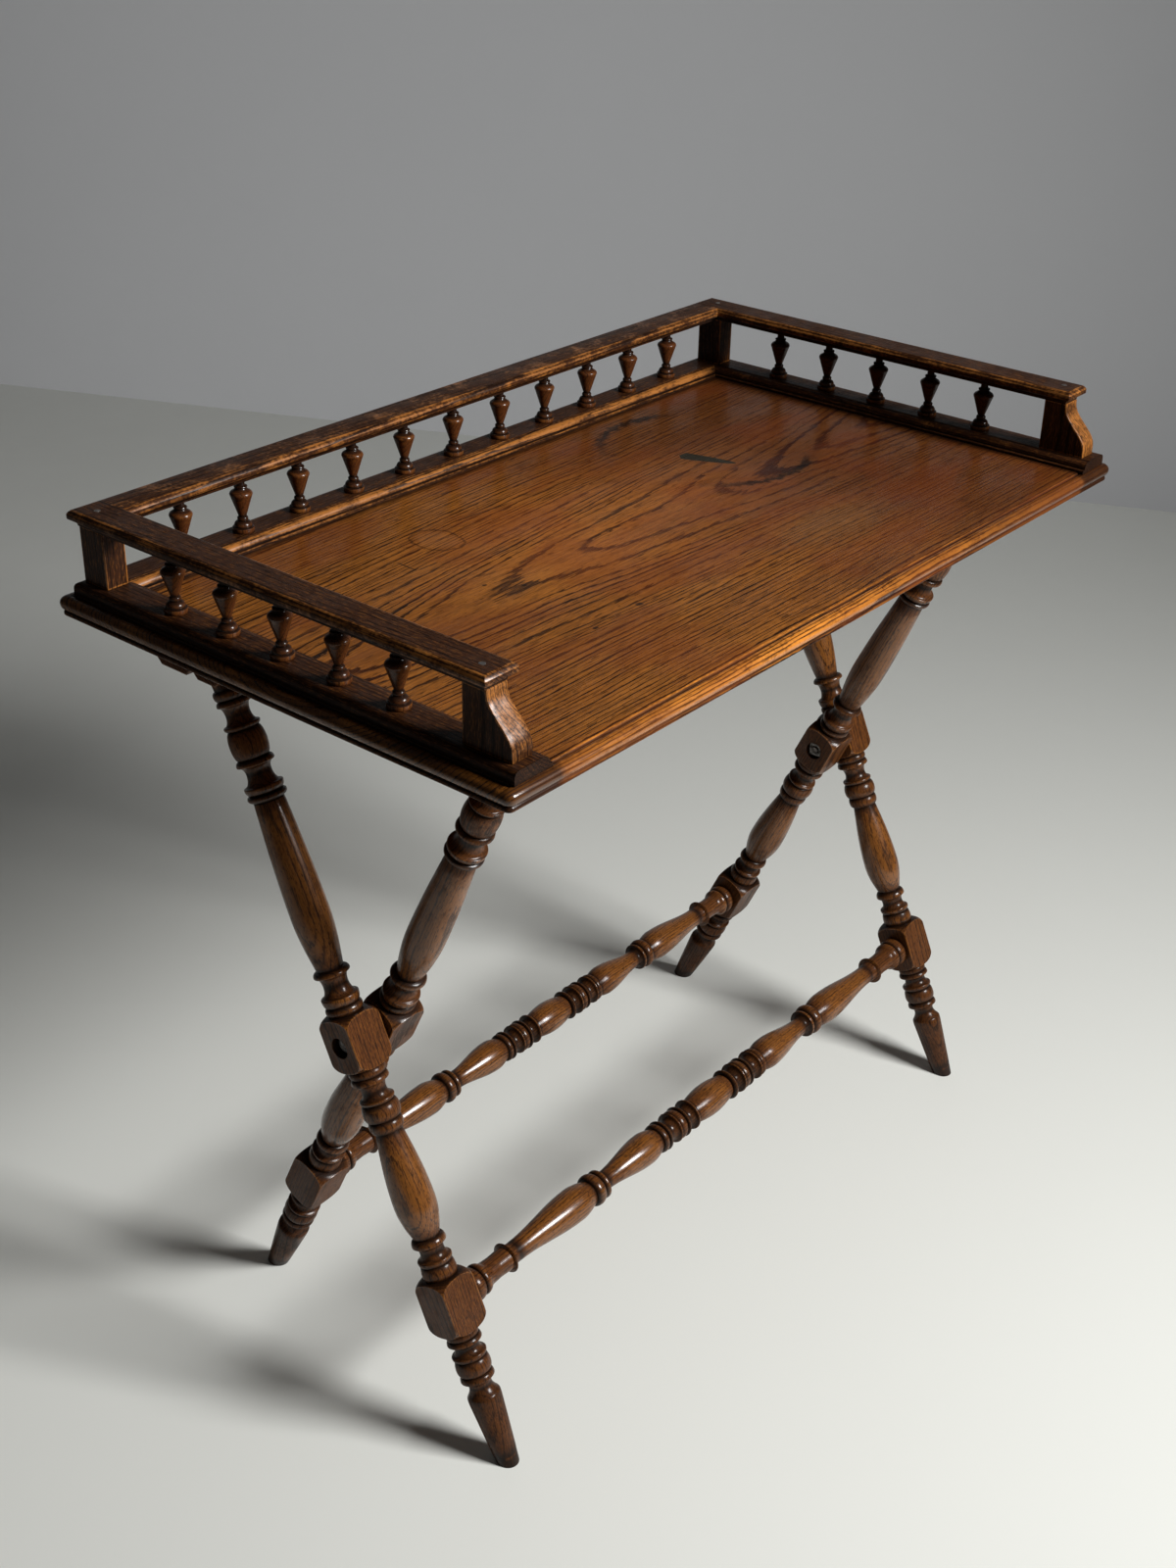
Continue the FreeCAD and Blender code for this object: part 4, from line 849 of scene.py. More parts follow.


# Mouldings, as inward and upward in millimetres with their wear, and their grime with painted shade in the hollows

TRAY_EDGE = (
    (4.7, 0.0, 0.3, 0.3), (3.0, 0.5, 0.5, 0.1), (2.3, 1.3, 0.6, 0.1), (2.3, 3.1, 0.4, 0.3),
    (2.7, 3.9, 0.0, 1.0), (3.8, 4.9, 0.0, 1.0), (2.2, 5.6, 0.6, 0.1), (1.0, 7.0, 0.9, 0.0),
    (0.2, 9.0, 1.0, 0.0), (0.0, 10.8, 1.0, 0.0), (0.5, 12.7, 1.0, 0.0), (1.7, 14.2, 1.0, 0.0),
    (3.6, 15.5, 0.95, 0.0), (6.0, 16.2, 0.9, 0.0), (7.6, 16.2, 0.8, 0.1), (8.6, 15.9, 0.1, 0.9),
    (9.3, 15.7, 0.0, 1.0), (9.8, 16.1, 0.0, 0.9), (10.2, 16.9, 0.6, 0.3), (10.9, 17.4, 0.8, 0.0),
    (11.8, 17.5, 0.35, 0.0), (22.0, 17.5, 0.0, 0.0),
)
RAIL_EDGE = (
    (5.8, 0.0, 0.2, 0.6), (5.8, 1.2, 0.2, 0.6), (5.0, 2.6, 0.1, 0.7), (3.6, 4.0, 0.1, 0.7),
    (1.6, 4.9, 0.2, 0.6), (1.2, 5.2, 0.3, 0.5), (0.3, 5.5, 0.7, 0.2), (0.0, 6.1, 0.6, 0.1),
    (0.0, 9.0, 0.55, 0.1), (0.3, 9.7, 0.95, 0.0), (1.7, 11.3, 0.45, 0.1), (3.1, 12.5, 0.9, 0.0),
    (4.0, 12.75, 0.5, 0.0), (6.0, 12.75, 0.05, 0.1),
)
SOLE_SECTION = (
    (0.0, 0.0, 0.1, 0.7), (0.0, 5.2, 0.25, 0.4), (0.2, 7.2, 0.35, 0.3), (1.1, 9.0, 0.5, 0.2),
    (2.6, 10.1, 0.4, 0.2), (4.6, 10.5, 0.15, 0.3), (8.0, 10.5, 0.0, 0.35), (25.5, 10.5, 0.0, 0.35),
    (28.4, 10.5, 0.7, 0.0), (28.9, 10.2, 0.3, 0.6), (29.3, 9.9, 0.5, 0.4), (31.0, 9.7, 1.0, 0.0),
    (33.0, 8.9, 1.0, 0.0), (34.4, 7.4, 1.0, 0.0), (35.0, 5.6, 0.8, 0.1), (35.0, 3.8, 0.0, 1.0),
    (36.2, 3.6, 0.6, 0.4), (37.6, 3.6, 0.8, 0.1), (38.0, 3.2, 0.6, 0.3), (38.0, 0.0, 0.0, 1.0),
)


TRAY_CORNER, RAIL_CORNER = 7.0 * MM, 1.4 * MM
SCRIBE_GAP = 0.1 * MM
NAIL_DEPTH, NAIL_OUTWARD, NAIL_FROM_BACK = 1.5 * MM, 2.0 * MM, 11.0 * MM
BRACKET_SWEEP, BRACKET_FOOT, BRACKET_NECK = 22.0, 0.17, 0.93
FRONT_WAY, FRONT_AREA, FRONT_WEAR = -0.3, 12.0 * MM * MM, 0.75


def slab(low, high, edge, rounding, steps=5):
    """Board with the same moulding all round, built up ring by ring from its underside."""
    mesh = begin()
    corners = (((-1, -1), 180.0), ((1, -1), 270.0), ((1, 1), 0.0), ((-1, 1), 90.0))
    turns = [(side, math.radians(start + 90.0 * step / steps)) for side, start in corners
             for step in range(steps + 1)]

    def place(turn, step):
        """Point of the outline of one ring, at a turn round the board."""
        side, angle = turn
        radius = max(0.0, rounding - step[0] * MM)
        inset = step[0] * MM + radius
        x = low.x + inset if side[0] < 0 else high.x - inset
        y = low.y + inset if side[1] < 0 else high.y - inset
        return Vector((x + radius * math.cos(angle), y + radius * math.sin(angle), low.z + step[1] * MM))

    ring = [mesh.verts.new(place(turn, edge[0])) for turn in turns]
    mark(mesh, ring, *edge[0][2:])
    edges = [mesh.edges.new((ring[index - 1], ring[index])) for index in range(len(ring))]
    mesh.faces.new(ring)
    for step in edge[1:]:
        made = bmesh.ops.extrude_edge_only(mesh, edges=edges)["geom"]
        fresh = set(sort(made, bmesh.types.BMVert))
        edges = [item for item in sort(made, bmesh.types.BMEdge) if fresh.issuperset(item.verts)]
        ring = [next(item.other_vert(vert) for item in vert.link_edges if item.other_vert(vert) in fresh)
                for vert in ring]
        for vert, turn in zip(ring, turns):
            vert.co = place(turn, step)
        mark(mesh, ring, *step[2:])
    mesh.faces.new(ring)
    bmesh.ops.remove_doubles(mesh, verts=mesh.verts, dist=0.001 * MM)
    bmesh.ops.recalc_face_normals(mesh, faces=mesh.faces)
    return mesh


def darken_ends(mesh, axis, low, high, reach=1.2 * MM):
    """Let the sawn ends of a piece take up more dark polish than its faces."""
    grime = mesh.verts.layers.float["grime"]
    for end, inward in ((low[axis], 1), (high[axis], -1)):
        across = Vector((0, 0, 0))
        across[axis] = 1.0
        for step in (reach, 0.4 * reach):
            bmesh.ops.bisect_plane(mesh, geom=[*mesh.verts, *mesh.edges, *mesh.faces], dist=1e-7,
                                   plane_co=across * (end + inward * step), plane_no=across)
        for vert in mesh.verts:
            if abs(vert.co[axis] - end) < 0.5 * reach:
                vert[grime] = 0.75


def run_moulding(section, start, stop, matrix, step=15.0 * MM):
    """Moulding with a section (inward, up), its ends given by functions of inward and up, in metres."""
    mesh = begin()
    verts = []
    for inward, up, wear, grime in section:
        vert = mesh.verts.new((inward * MM, 0.0, up * MM))
        mark(mesh, [vert], wear, grime)
        verts.append(vert)
    face = mesh.faces.new(verts)
    made = bmesh.ops.extrude_face_region(mesh, geom=[face])["geom"]
    bmesh.ops.translate(mesh, vec=(0.0, 1.0, 0.0), verts=sort(made, bmesh.types.BMVert))
    runs = [edge for edge in mesh.edges if abs(edge.verts[1].co.y - edge.verts[0].co.y) > 0.5]
    bmesh.ops.subdivide_edges(mesh, edges=runs, cuts=round(abs(stop(0.0, 0.0) - start(0.0, 0.0)) / step))
    for vert in mesh.verts:
        ends = [end(vert.co.x, vert.co.z) for end in (start, stop)]
        vert.co.y = ends[0] + (ends[1] - ends[0]) * vert.co.y
    bmesh.ops.transform(mesh, matrix=matrix, verts=mesh.verts)
    return mesh


def facing(side, across, foot):
    """Turns moulding coordinates so that inward points from one side of the table to its middle."""
    if side == "back":
        return Matrix(((0, 1, 0, 0), (-1, 0, 0, across), (0, 0, 1, foot), (0, 0, 0, 1)))
    sign = 1 if side == "left" else -1
    return Matrix(((sign, 0, 0, across), (0, 1, 0, 0), (0, 0, 1, foot), (0, 0, 0, 1)))


class TRAYTABLE_OT_tray_board(bpy.types.Operator):
    """Tray board with its moulded edge"""

    bl_idname = "tray_table.tray_board"
    bl_label = "Tray board"
    bl_options = {"REGISTER", "UNDO"}

    def execute(self, context):
        sizes = context.scene.tray_table_sizes
        low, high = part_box("tray_top")
        mesh = slab(low, high, TRAY_EDGE, TRAY_CORNER)
        divide(mesh, 0, 14.0 * MM)
        divide(mesh, 1, 14.0 * MM)
        wander(mesh, (0, 1), sizes.unevenness, low, high)
        lay_grain(mesh, mesh.verts, (1.0, 0.025, -0.034), (0.0, -0.014, high.z + 0.128))
        put_away(mesh, "tray_board", "tray", "tray_oak", ["tray_top"])
        return {"FINISHED"}


class TRAYTABLE_OT_gallery_soles(bpy.types.Operator):
    """Moulded soles of the gallery, mitred at the back corners"""

    bl_idname = "tray_table.gallery_soles"
    bl_label = "Gallery soles"
    bl_options = {"REGISTER", "UNDO"}

    def execute(self, context):
        sizes = context.scene.tray_table_sizes
        back_low, back_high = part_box("gallery_sole_back")
        for side, name in SIDES:
            low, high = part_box(f"gallery_sole_{name}")
            across = low.x if side < 0 else high.x
            # The side soles are less rubbed and darker than the back one: painted shade
            painted_shade_section = [(inward, up, 0.4 * wear, max(0.3, grime)) for inward, up, wear, grime in SOLE_SECTION]
            mesh = run_moulding(painted_shade_section, lambda inward, up: low.y, lambda inward, up: high.y - inward,
                                facing(name, across, low.z))
            wander(mesh, (0,), sizes.unevenness, low, high, 6.0 * MM)
            darken_ends(mesh, 1, low, high)
            lay_grain(mesh, mesh.verts, (0.01 * side, 1.0, 0.012), (across - 0.05 * side, 0.0, high.z + 0.03))
            put_away(mesh, f"{name}_sole", "tray", "gallery_oak", [f"gallery_sole_{name}"])
        mesh = run_moulding(
            SOLE_SECTION, lambda inward, up: back_low.x + inward, lambda inward, up: back_high.x - inward,
            facing("back", back_high.y, back_low.z))
        wander(mesh, (1,), sizes.unevenness, back_low, back_high, 6.0 * MM)
        lay_grain(mesh, mesh.verts, (1.0, 0.01, -0.01), (0.0, back_low.y - 0.03, back_high.z + 0.04))
        put_away(mesh, "back_sole", "tray", "gallery_oak", ["gallery_sole_back"])
        return {"FINISHED"}


class TRAYTABLE_OT_gallery_rails(bpy.types.Operator):
    """Top rails of the gallery, the back one scribed between the others, and their nails"""

    bl_idname = "tray_table.gallery_rails"
    bl_label = "Gallery rails"
    bl_options = {"REGISTER", "UNDO"}

    def execute(self, context):
        sizes = context.scene.tray_table_sizes
        for side, name in SIDES:
            low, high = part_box(f"gallery_rail_{name}")
            mesh = slab(low, high, RAIL_EDGE, RAIL_CORNER, 2)
            divide(mesh, 1, 13.0 * MM)
            wander(mesh, (0, 1), sizes.unevenness, low, high, 7.0 * MM)
            lay_grain(mesh, mesh.verts, (0.012, 1.0, 0.02 * side), (low.x - 0.03, 0.0, low.z - 0.05))
            put_away(mesh, f"{name}_rail", "tray", "gallery_oak", [f"gallery_rail_{name}"])
        low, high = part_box("gallery_rail_back")
        left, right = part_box("gallery_rail_left")[1].x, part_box("gallery_rail_right")[0].x
        edge = [step for step in RAIL_EDGE if step[0] < RAIL_EDGE[-1][0]]
        width = (high.y - low.y) / MM
        section = edge + [(width - step[0], *step[1:]) for step in reversed(edge)]

        def scribe(up):
            """How far the moulding of an end rail stands back at a height."""
            for first, last in zip(edge, edge[1:]):
                if first[1] * MM <= up <= last[1] * MM:
                    share = (up - first[1] * MM) / (last[1] * MM - first[1] * MM)
                    return (first[0] + (last[0] - first[0]) * share) * MM
            return edge[-1][0] * MM

        mesh = run_moulding(section, lambda inward, up: left - scribe(up) + SCRIBE_GAP,
                            lambda inward, up: right + scribe(up) - SCRIBE_GAP, facing("back", high.y, low.z))
        wander(mesh, (1,), sizes.unevenness, low, high, 7.0 * MM)
        lay_grain(mesh, mesh.verts, (1.0, -0.01, 0.015), (0.0, high.y + 0.02, low.z - 0.06))
        put_away(mesh, "back_rail", "tray", "gallery_oak", ["gallery_rail_back"])
        self.nails(sizes)
        return {"FINISHED"}

    def nails(self, sizes):
        """Nail heads over the posts and brackets, a hair proud of the planed rails."""
        mesh = begin()
        for side, name in SIDES:
            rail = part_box(f"gallery_rail_{name}")
            for upright in (f"corner_post_{name}", f"end_bracket_{name}"):
                low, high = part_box(upright)
                back = (low.y + high.y) / 2.0 if "post" in upright else high.y - NAIL_FROM_BACK
                spot = Vector(((low.x + high.x) / 2.0 + NAIL_OUTWARD * side, back, rail[1].z))
                ring = bmesh.ops.create_circle(mesh, cap_ends=True, segments=14, radius=sizes.nail_width / 2.0,
                                               matrix=Matrix.Translation(spot - Vector((0, 0, NAIL_DEPTH))))
                made = bmesh.ops.extrude_face_region(mesh, geom=ring["verts"][0].link_faces[:])["geom"]
                top = sort(made, bmesh.types.BMVert)
                bmesh.ops.translate(mesh, vec=(0, 0, NAIL_DEPTH - 0.05 * MM), verts=top)
                bmesh.ops.scale(mesh, vec=(0.9, 0.9, 1.0), space=Matrix.Translation(-spot), verts=top)
        put_away(mesh, "rail_nails", "tray", "pivot_steel")


class TRAYTABLE_OT_gallery_uprights(bpy.types.Operator):
    """Corner posts and ogee end brackets of the gallery"""

    bl_idname = "tray_table.gallery_uprights"
    bl_label = "Posts and brackets"
    bl_options = {"REGISTER", "UNDO"}

    def execute(self, context):
        sizes = context.scene.tray_table_sizes
        for side, name in SIDES:
            low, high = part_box(f"corner_post_{name}")
            mesh = begin()
            bmesh.ops.create_cube(mesh, size=1.0)
            bmesh.ops.scale(mesh, vec=high - low, verts=mesh.verts)
            bmesh.ops.translate(mesh, vec=(low + high) / 2.0, verts=mesh.verts)
            soften(mesh, sizes.soft_edge, margin=sizes.worn_margin)
            lay_grain(mesh, mesh.verts, (0.01, 0.02, 1.0), (low.x + 0.05 * side, low.y + 0.04, 0.0))
            put_away(mesh, f"{name}_post", "tray", "gallery_oak", [f"corner_post_{name}"])
            mesh = self.bracket(f"end_bracket_{name}", sizes)
            put_away(mesh, f"{name}_bracket", "tray", "gallery_oak", [f"end_bracket_{name}"])
        return {"FINISHED"}

    def bracket(self, node, sizes):
        """Ogee bracket from its side view."""
        low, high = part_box(node)
        height = (high.z - low.z) / MM
        front = turned_line((
            (0, BRACKET_SWEEP, "edge"), (BRACKET_FOOT * height, BRACKET_SWEEP, "bead"),
            (BRACKET_NECK * height, 0, "neck"), (height, 0, "edge")), 3.0)
        mesh = begin()
        verts = [mesh.verts.new((low.x, high.y, low.z))]
        verts += [mesh.verts.new((low.x, low.y + (BRACKET_SWEEP - forward) * MM, low.z + rise * MM))
                  for rise, forward, *_ in front]
        verts.append(mesh.verts.new((low.x, high.y, high.z)))
        face = mesh.faces.new(verts)
        made = bmesh.ops.extrude_face_region(mesh, geom=[face])["geom"]
        bmesh.ops.translate(mesh, vec=(high.x - low.x, 0, 0), verts=sort(made, bmesh.types.BMVert))
        bmesh.ops.recalc_face_normals(mesh, faces=mesh.faces)
        divide(mesh, 0, 7.0 * MM, 10.0 * MM)
        soften(mesh, sizes.soft_edge, 1.0 * MM, margin=sizes.worn_margin)
        fronts = [face for face in mesh.faces if face.normal.y < FRONT_WAY and face.calc_area() > FRONT_AREA]
        mark(mesh, [vert for face in fronts for vert in face.verts], FRONT_WEAR, 0.0)
        lay_grain(mesh, mesh.verts, (0.01, -0.04, 1.0), (low.x + 0.06, low.y + 0.07, 0.0))
        return mesh


class TRAYTABLE_OT_spindles(bpy.types.Operator):
    """Turned spindles of the gallery"""

    bl_idname = "tray_table.spindles"
    bl_label = "Gallery spindles"
    bl_options = {"REGISTER", "UNDO"}

    def execute(self, context):
        sizes = context.scene.tray_table_sizes
        for name, axis, count in (("left", 1, 5), ("right", 1, 5), ("back", 0, 11)):
            low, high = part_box(f"{name}_spindles")
            first = begin()
            turn_on_lathe(first, turned_line(SPINDLE_TURNING, 1.1), sizes.spindle_steps)
            pattern = bpy.data.meshes.new("spindle_pattern")
            first.to_mesh(pattern)
            first.free()
            mesh = begin()
            middle = (low + high) / 2.0
            half = (high[1 - axis] - low[1 - axis]) / 2.0
            for index in range(count):
                known = set(mesh.verts)
                mesh.from_mesh(pattern)
                fresh = [vert for vert in mesh.verts if vert not in known]
                spot = Vector((middle.x, middle.y, low.z))
                spot[axis] = low[axis] + half + (high[axis] - low[axis] - 2.0 * half) * index / (count - 1)
                bmesh.ops.rotate(mesh, cent=(0, 0, 0), matrix=Matrix.Rotation(index * 1.7, 3, "Z"), verts=fresh)
                bmesh.ops.translate(mesh, vec=spot, verts=fresh)
                pith = spot + Vector((0.03 + 0.004 * (index % 4), 0.025 - 0.007 * (index % 3), 0.2 * index))
                lay_grain(mesh, fresh, (0.01, 0.01, 1.0), pith)
            bpy.data.meshes.remove(pattern)
            put_away(mesh, f"{name}_turnings", "tray", "spindle_oak", [f"{name}_spindles"])
        return {"FINISHED"}


class TRAYTABLE_OT_legs(bpy.types.Operator):
    """Turned legs of both frames"""

    bl_idname = "tray_table.legs"
    bl_label = "Legs"
    bl_options = {"REGISTER", "UNDO"}

    def execute(self, context):
        piths = {"outer_left": (55, 30, 0), "outer_right": (-48, 40, 400), "inner_left": (38, -52, 800),
                 "inner_right": (-30, -60, 1200)}
        for prefix, stretcher, recess in (("outer", "front_stretcher", 1), ("inner", "rear_stretcher", -1)):
            for side, name in SIDES:
                node = f"{prefix}_leg_{name}"
                mesh = leg(node, stretcher, f"{prefix}_top_rail", recess * side, piths[f"{prefix}_{name}"])
                put_away(mesh, f"{prefix}_{name}_turned_leg", f"{prefix}_frame", "leg_oak", [node])
        return {"FINISHED"}


class TRAYTABLE_OT_stretchers(bpy.types.Operator):
    """Turned stretchers between the feet"""

    bl_idname = "tray_table.stretchers"
    bl_label = "Stretchers"
    bl_options = {"REGISTER", "UNDO"}

    def execute(self, context):
        sizes = context.scene.tray_table_sizes
        for node, prefix, shift in (("front_stretcher", "outer", 0.0), ("rear_stretcher", "inner", 1.0)):
            low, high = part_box(node)
            inner_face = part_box(f"{prefix}_leg_right")[0].x / MM
            stretch = inner_face / STRETCHER_HALF
            half = [(along * stretch, radius, kind) for along, radius, kind in STRETCHER_TURNING]
            knots = mirrored(half) + [(0.0, 15.5, "swell")] + half
            knots = [(-inner_face, 12.6, "edge"), *knots, (inner_face, 12.6, "edge")]
            mesh = begin()
            turn_on_lathe(mesh, turned_line(knots), sizes.turning_steps)
            middle = (low + high) / 2.0
            lay_across(mesh, middle)
            lay_grain(mesh, mesh.verts, (1.0, 0.02, 0.012), middle + Vector((shift, 0.04, 0.035)))
            put_away(mesh, f"turned_{node}", f"{prefix}_frame", "leg_oak", [node])
        return {"FINISHED"}


RAIL_SCREW_END, RAIL_SCREW_BACK = 60.0 * MM, 4.0 * MM
REST_SCREW_APART, REST_SCREW_INWARD = 6.5 * MM, 7.0 * MM


class TRAYTABLE_OT_under_rails(bpy.types.Operator):
    """Top rails of the frames, the hinge rail and the notched rests"""

    bl_idname = "tray_table.under_rails"
    bl_label = "Rails under the tray"
    bl_options = {"REGISTER", "UNDO"}

    def execute(self, context):
        sizes = context.scene.tray_table_sizes
        rails = (("outer_top_rail", "outer_frame", 0.0), ("inner_top_rail", "inner_frame", 1.0),
                 ("hinge_rail", "tray", 2.0), ("rail_rest_left", "tray", 3.0), ("rail_rest_right", "tray", 4.0))
        for node, body, shift in rails:
            low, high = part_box(node)
            mesh = begin(node)
            soften(mesh, sizes.soft_edge, 4.0 * MM, margin=sizes.worn_margin)
            lay_grain(mesh, mesh.verts, (1.0, 0.01, 0.01), (shift, low.y - 0.03, high.z + 0.05))
            put_away(mesh, f"{node}_planed", body, "rail_oak", [node])
        self.screws(sizes)
        return {"FINISHED"}

    def screws(self, sizes):
        """Screws that hold the hinge rail and the rests to the tray."""
        mesh = begin()
        low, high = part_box("hinge_rail")
        reach = high.x - RAIL_SCREW_END
        for index in range(5):
            spot = Vector((-reach + reach * index / 2.0, (low.y + high.y) / 2.0 + RAIL_SCREW_BACK, low.z))
            screw_head(mesh, spot, sizes, index * 0.9)
        for side, name in SIDES:
            low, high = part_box(f"rail_rest_{name}")
            for step in (-1, 1):
                spot = Vector(((low.x + high.x) / 2.0 + step * REST_SCREW_APART, low.y + REST_SCREW_INWARD, low.z))
                screw_head(mesh, spot, sizes, step * 1.95 + side)
        put_away(mesh, "rail_screws", "tray", "pivot_steel")


SCREW_PROUD, SCREW_SUNK, SCREW_SLOT_DEPTH = 0.25 * MM, 1.5 * MM, 0.7 * MM
LEAF_SCREW_INWARD, LEAF_SCREW_STAGGER, LEAF_SCREW_PITCH = 10.0 * MM, 4.0 * MM, 19.0 * MM


def screw_head(mesh, spot, sizes, turn):
    """Slotted countersunk head, seen from below, with its face a hair proud of the surface."""
    place = Matrix.Translation(spot) @ Matrix.Rotation(turn, 4, "Z") @ Matrix.Rotation(math.pi, 4, "X")
    verts = bmesh.ops.create_circle(mesh, cap_ends=True, segments=20, radius=sizes.screw_width / 2.0)["verts"]
    half = sizes.screw_slot / 2.0
    for sign in (-1, 1):
        own = {item for vert in verts for item in (*vert.link_edges, *vert.link_faces)} | set(verts)
        cut = bmesh.ops.bisect_plane(mesh, geom=list(own), dist=1e-8, plane_co=(0, half * sign, 0),
                                     plane_no=(0, 1, 0))
        verts += sort(cut["geom_cut"], bmesh.types.BMVert)
    faces = {face for vert in verts for face in vert.link_faces}
    low = bmesh.ops.extrude_face_region(mesh, geom=list(faces), use_keep_orig=True)["geom"]
    top, bottom = sort(low, bmesh.types.BMVert), list(verts)
    bmesh.ops.translate(mesh, vec=(0, 0, SCREW_PROUD), verts=top)
    bmesh.ops.translate(mesh, vec=(0, 0, -SCREW_SUNK), verts=bottom)
    slot = [face for face in sort(low, bmesh.types.BMFace) if abs(face.calc_center_median().y) < half
            and all(vert in top for vert in face.verts)]
    pressed = sort(bmesh.ops.extrude_face_region(mesh, geom=slot)["geom"], bmesh.types.BMVert)
    bmesh.ops.translate(mesh, vec=(0, 0, -SCREW_SLOT_DEPTH), verts=pressed)
    bmesh.ops.transform(mesh, matrix=place, verts=top + bottom + pressed)


class TRAYTABLE_OT_hinges(bpy.types.Operator):
    """Butt hinges of the tray with their pins and screws"""

    bl_idname = "tray_table.hinges"
    bl_label = "Hinges"
    bl_options = {"REGISTER", "UNDO"}

    def execute(self, context):
        sizes = context.scene.tray_table_sizes
        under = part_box("hinge_rail")[0].z
        for kind, body in (("frame", "outer_frame"), ("tray", "tray")):
            screws = begin()
            for side, name in SIDES:
                node = f"hinge_{name}_{kind}_leaf"
                mesh = begin(node)
                soften(mesh, sizes.metal_edge, 3.0 * MM, 50.0, 1)
                put_away(mesh, f"{name}_{kind}_leaf", body, "hinge_brass", [node])
                low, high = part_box(node)
                y = low.y + LEAF_SCREW_INWARD if kind == "frame" else high.y - LEAF_SCREW_INWARD
                for step in (-1, 0, 1):
                    nudge = LEAF_SCREW_STAGGER * (step == 0) * (1 if kind == "tray" else -1)
                    spot = Vector(((low.x + high.x) / 2.0 + step * LEAF_SCREW_PITCH, y + nudge, under))
                    screw_head(screws, spot, sizes, step * 1.3 + side)
            put_away(screws, f"{kind}_leaf_screws", body, "hinge_brass")
        for side, name in SIDES:
            low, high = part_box(f"hinge_{name}_pin")
            half, radius = (high.x - low.x) / 2.0 / MM, (high.z - low.z) / 2.0 / MM
            knots = ((-half, radius - 0.5, "edge"), (-half + 0.5, radius, "edge"), (half - 0.5, radius, "edge"),
                     (half, radius - 0.5, "edge"))
            mesh = begin()
            turn_on_lathe(mesh, turned_line(knots), 20)
            lay_across(mesh, (low + high) / 2.0)
            put_away(mesh, f"{name}_pin", "outer_frame", "hinge_brass", [f"hinge_{name}_pin"])
        return {"FINISHED"}


BOLT_HEAD = (  # below its top, and radius, in millimetres
    (4.5, 4.0), (4.49, 7.6), (4.1, 8.0), (2.8, 7.9), (1.5, 7.0), (0.5, 5.0), (0.1, 2.6), (0.0, 0.6),
)


class TRAYTABLE_OT_pivots(bpy.types.Operator):
    """Pivot bolts with their nuts and washers"""

    bl_idname = "tray_table.pivots"
    bl_label = "Pivots"
    bl_options = {"REGISTER", "UNDO"}

    def execute(self, context):
        sizes = context.scene.tray_table_sizes
        for side, name in SIDES:
            low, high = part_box(f"pivot_bolt_{name}")
            head = (low.x if side < 0 else high.x) * side / MM
            end = (high.x if side < 0 else low.x) * side / MM
            knots = [(end, 3.4, "edge"), (end + 0.8, 4.0, "edge")]
            knots += [(head - down, radius, "edge") for down, radius in BOLT_HEAD]
            mesh = begin()
            turn_on_lathe(mesh, turned_line(knots), 32)
            lay_across(mesh, Vector((0.0, (low.y + high.y) / 2.0, (low.z + high.z) / 2.0)), side)
            put_away(mesh, f"{name}_bolt", "outer_frame", "pivot_steel", [f"pivot_bolt_{name}"])
            for part in ("nut", "washer"):
                mesh = begin(f"pivot_{part}_{name}")
                soften(mesh, sizes.metal_edge, 0.3 * MM, 50.0, 1)
                put_away(mesh, f"{name}_{part}", "outer_frame", "pivot_steel", [f"pivot_{part}_{name}"])
        return {"FINISHED"}


# Camera and stage, in metres and degrees

CAMERA_PLACE = (-1.219, -0.954, 1.308)
CAMERA_TURN = (50.751, -29.301, 1.233)
CAMERA_LENS = 45.007
WALL_NORMAL = Vector((0.908, 0.42, 0.0)).normalized()
WALL_DISTANCE = 2.051
WALL_PAINTED_SHADE_SPAN, WALL_PAINTED_SHADE_DEPTH = (-1.8, 1.6), 0.5
SHEET_HALF = 9.0
WINDOW_PLACE, WINDOW_AIM = Vector((0.55, -2.05, 1.9)), Vector((-0.45, 0.1, 0.4))
WINDOW_SIZE, WINDOW_SPREAD = (0.8, 0.85), 124.0


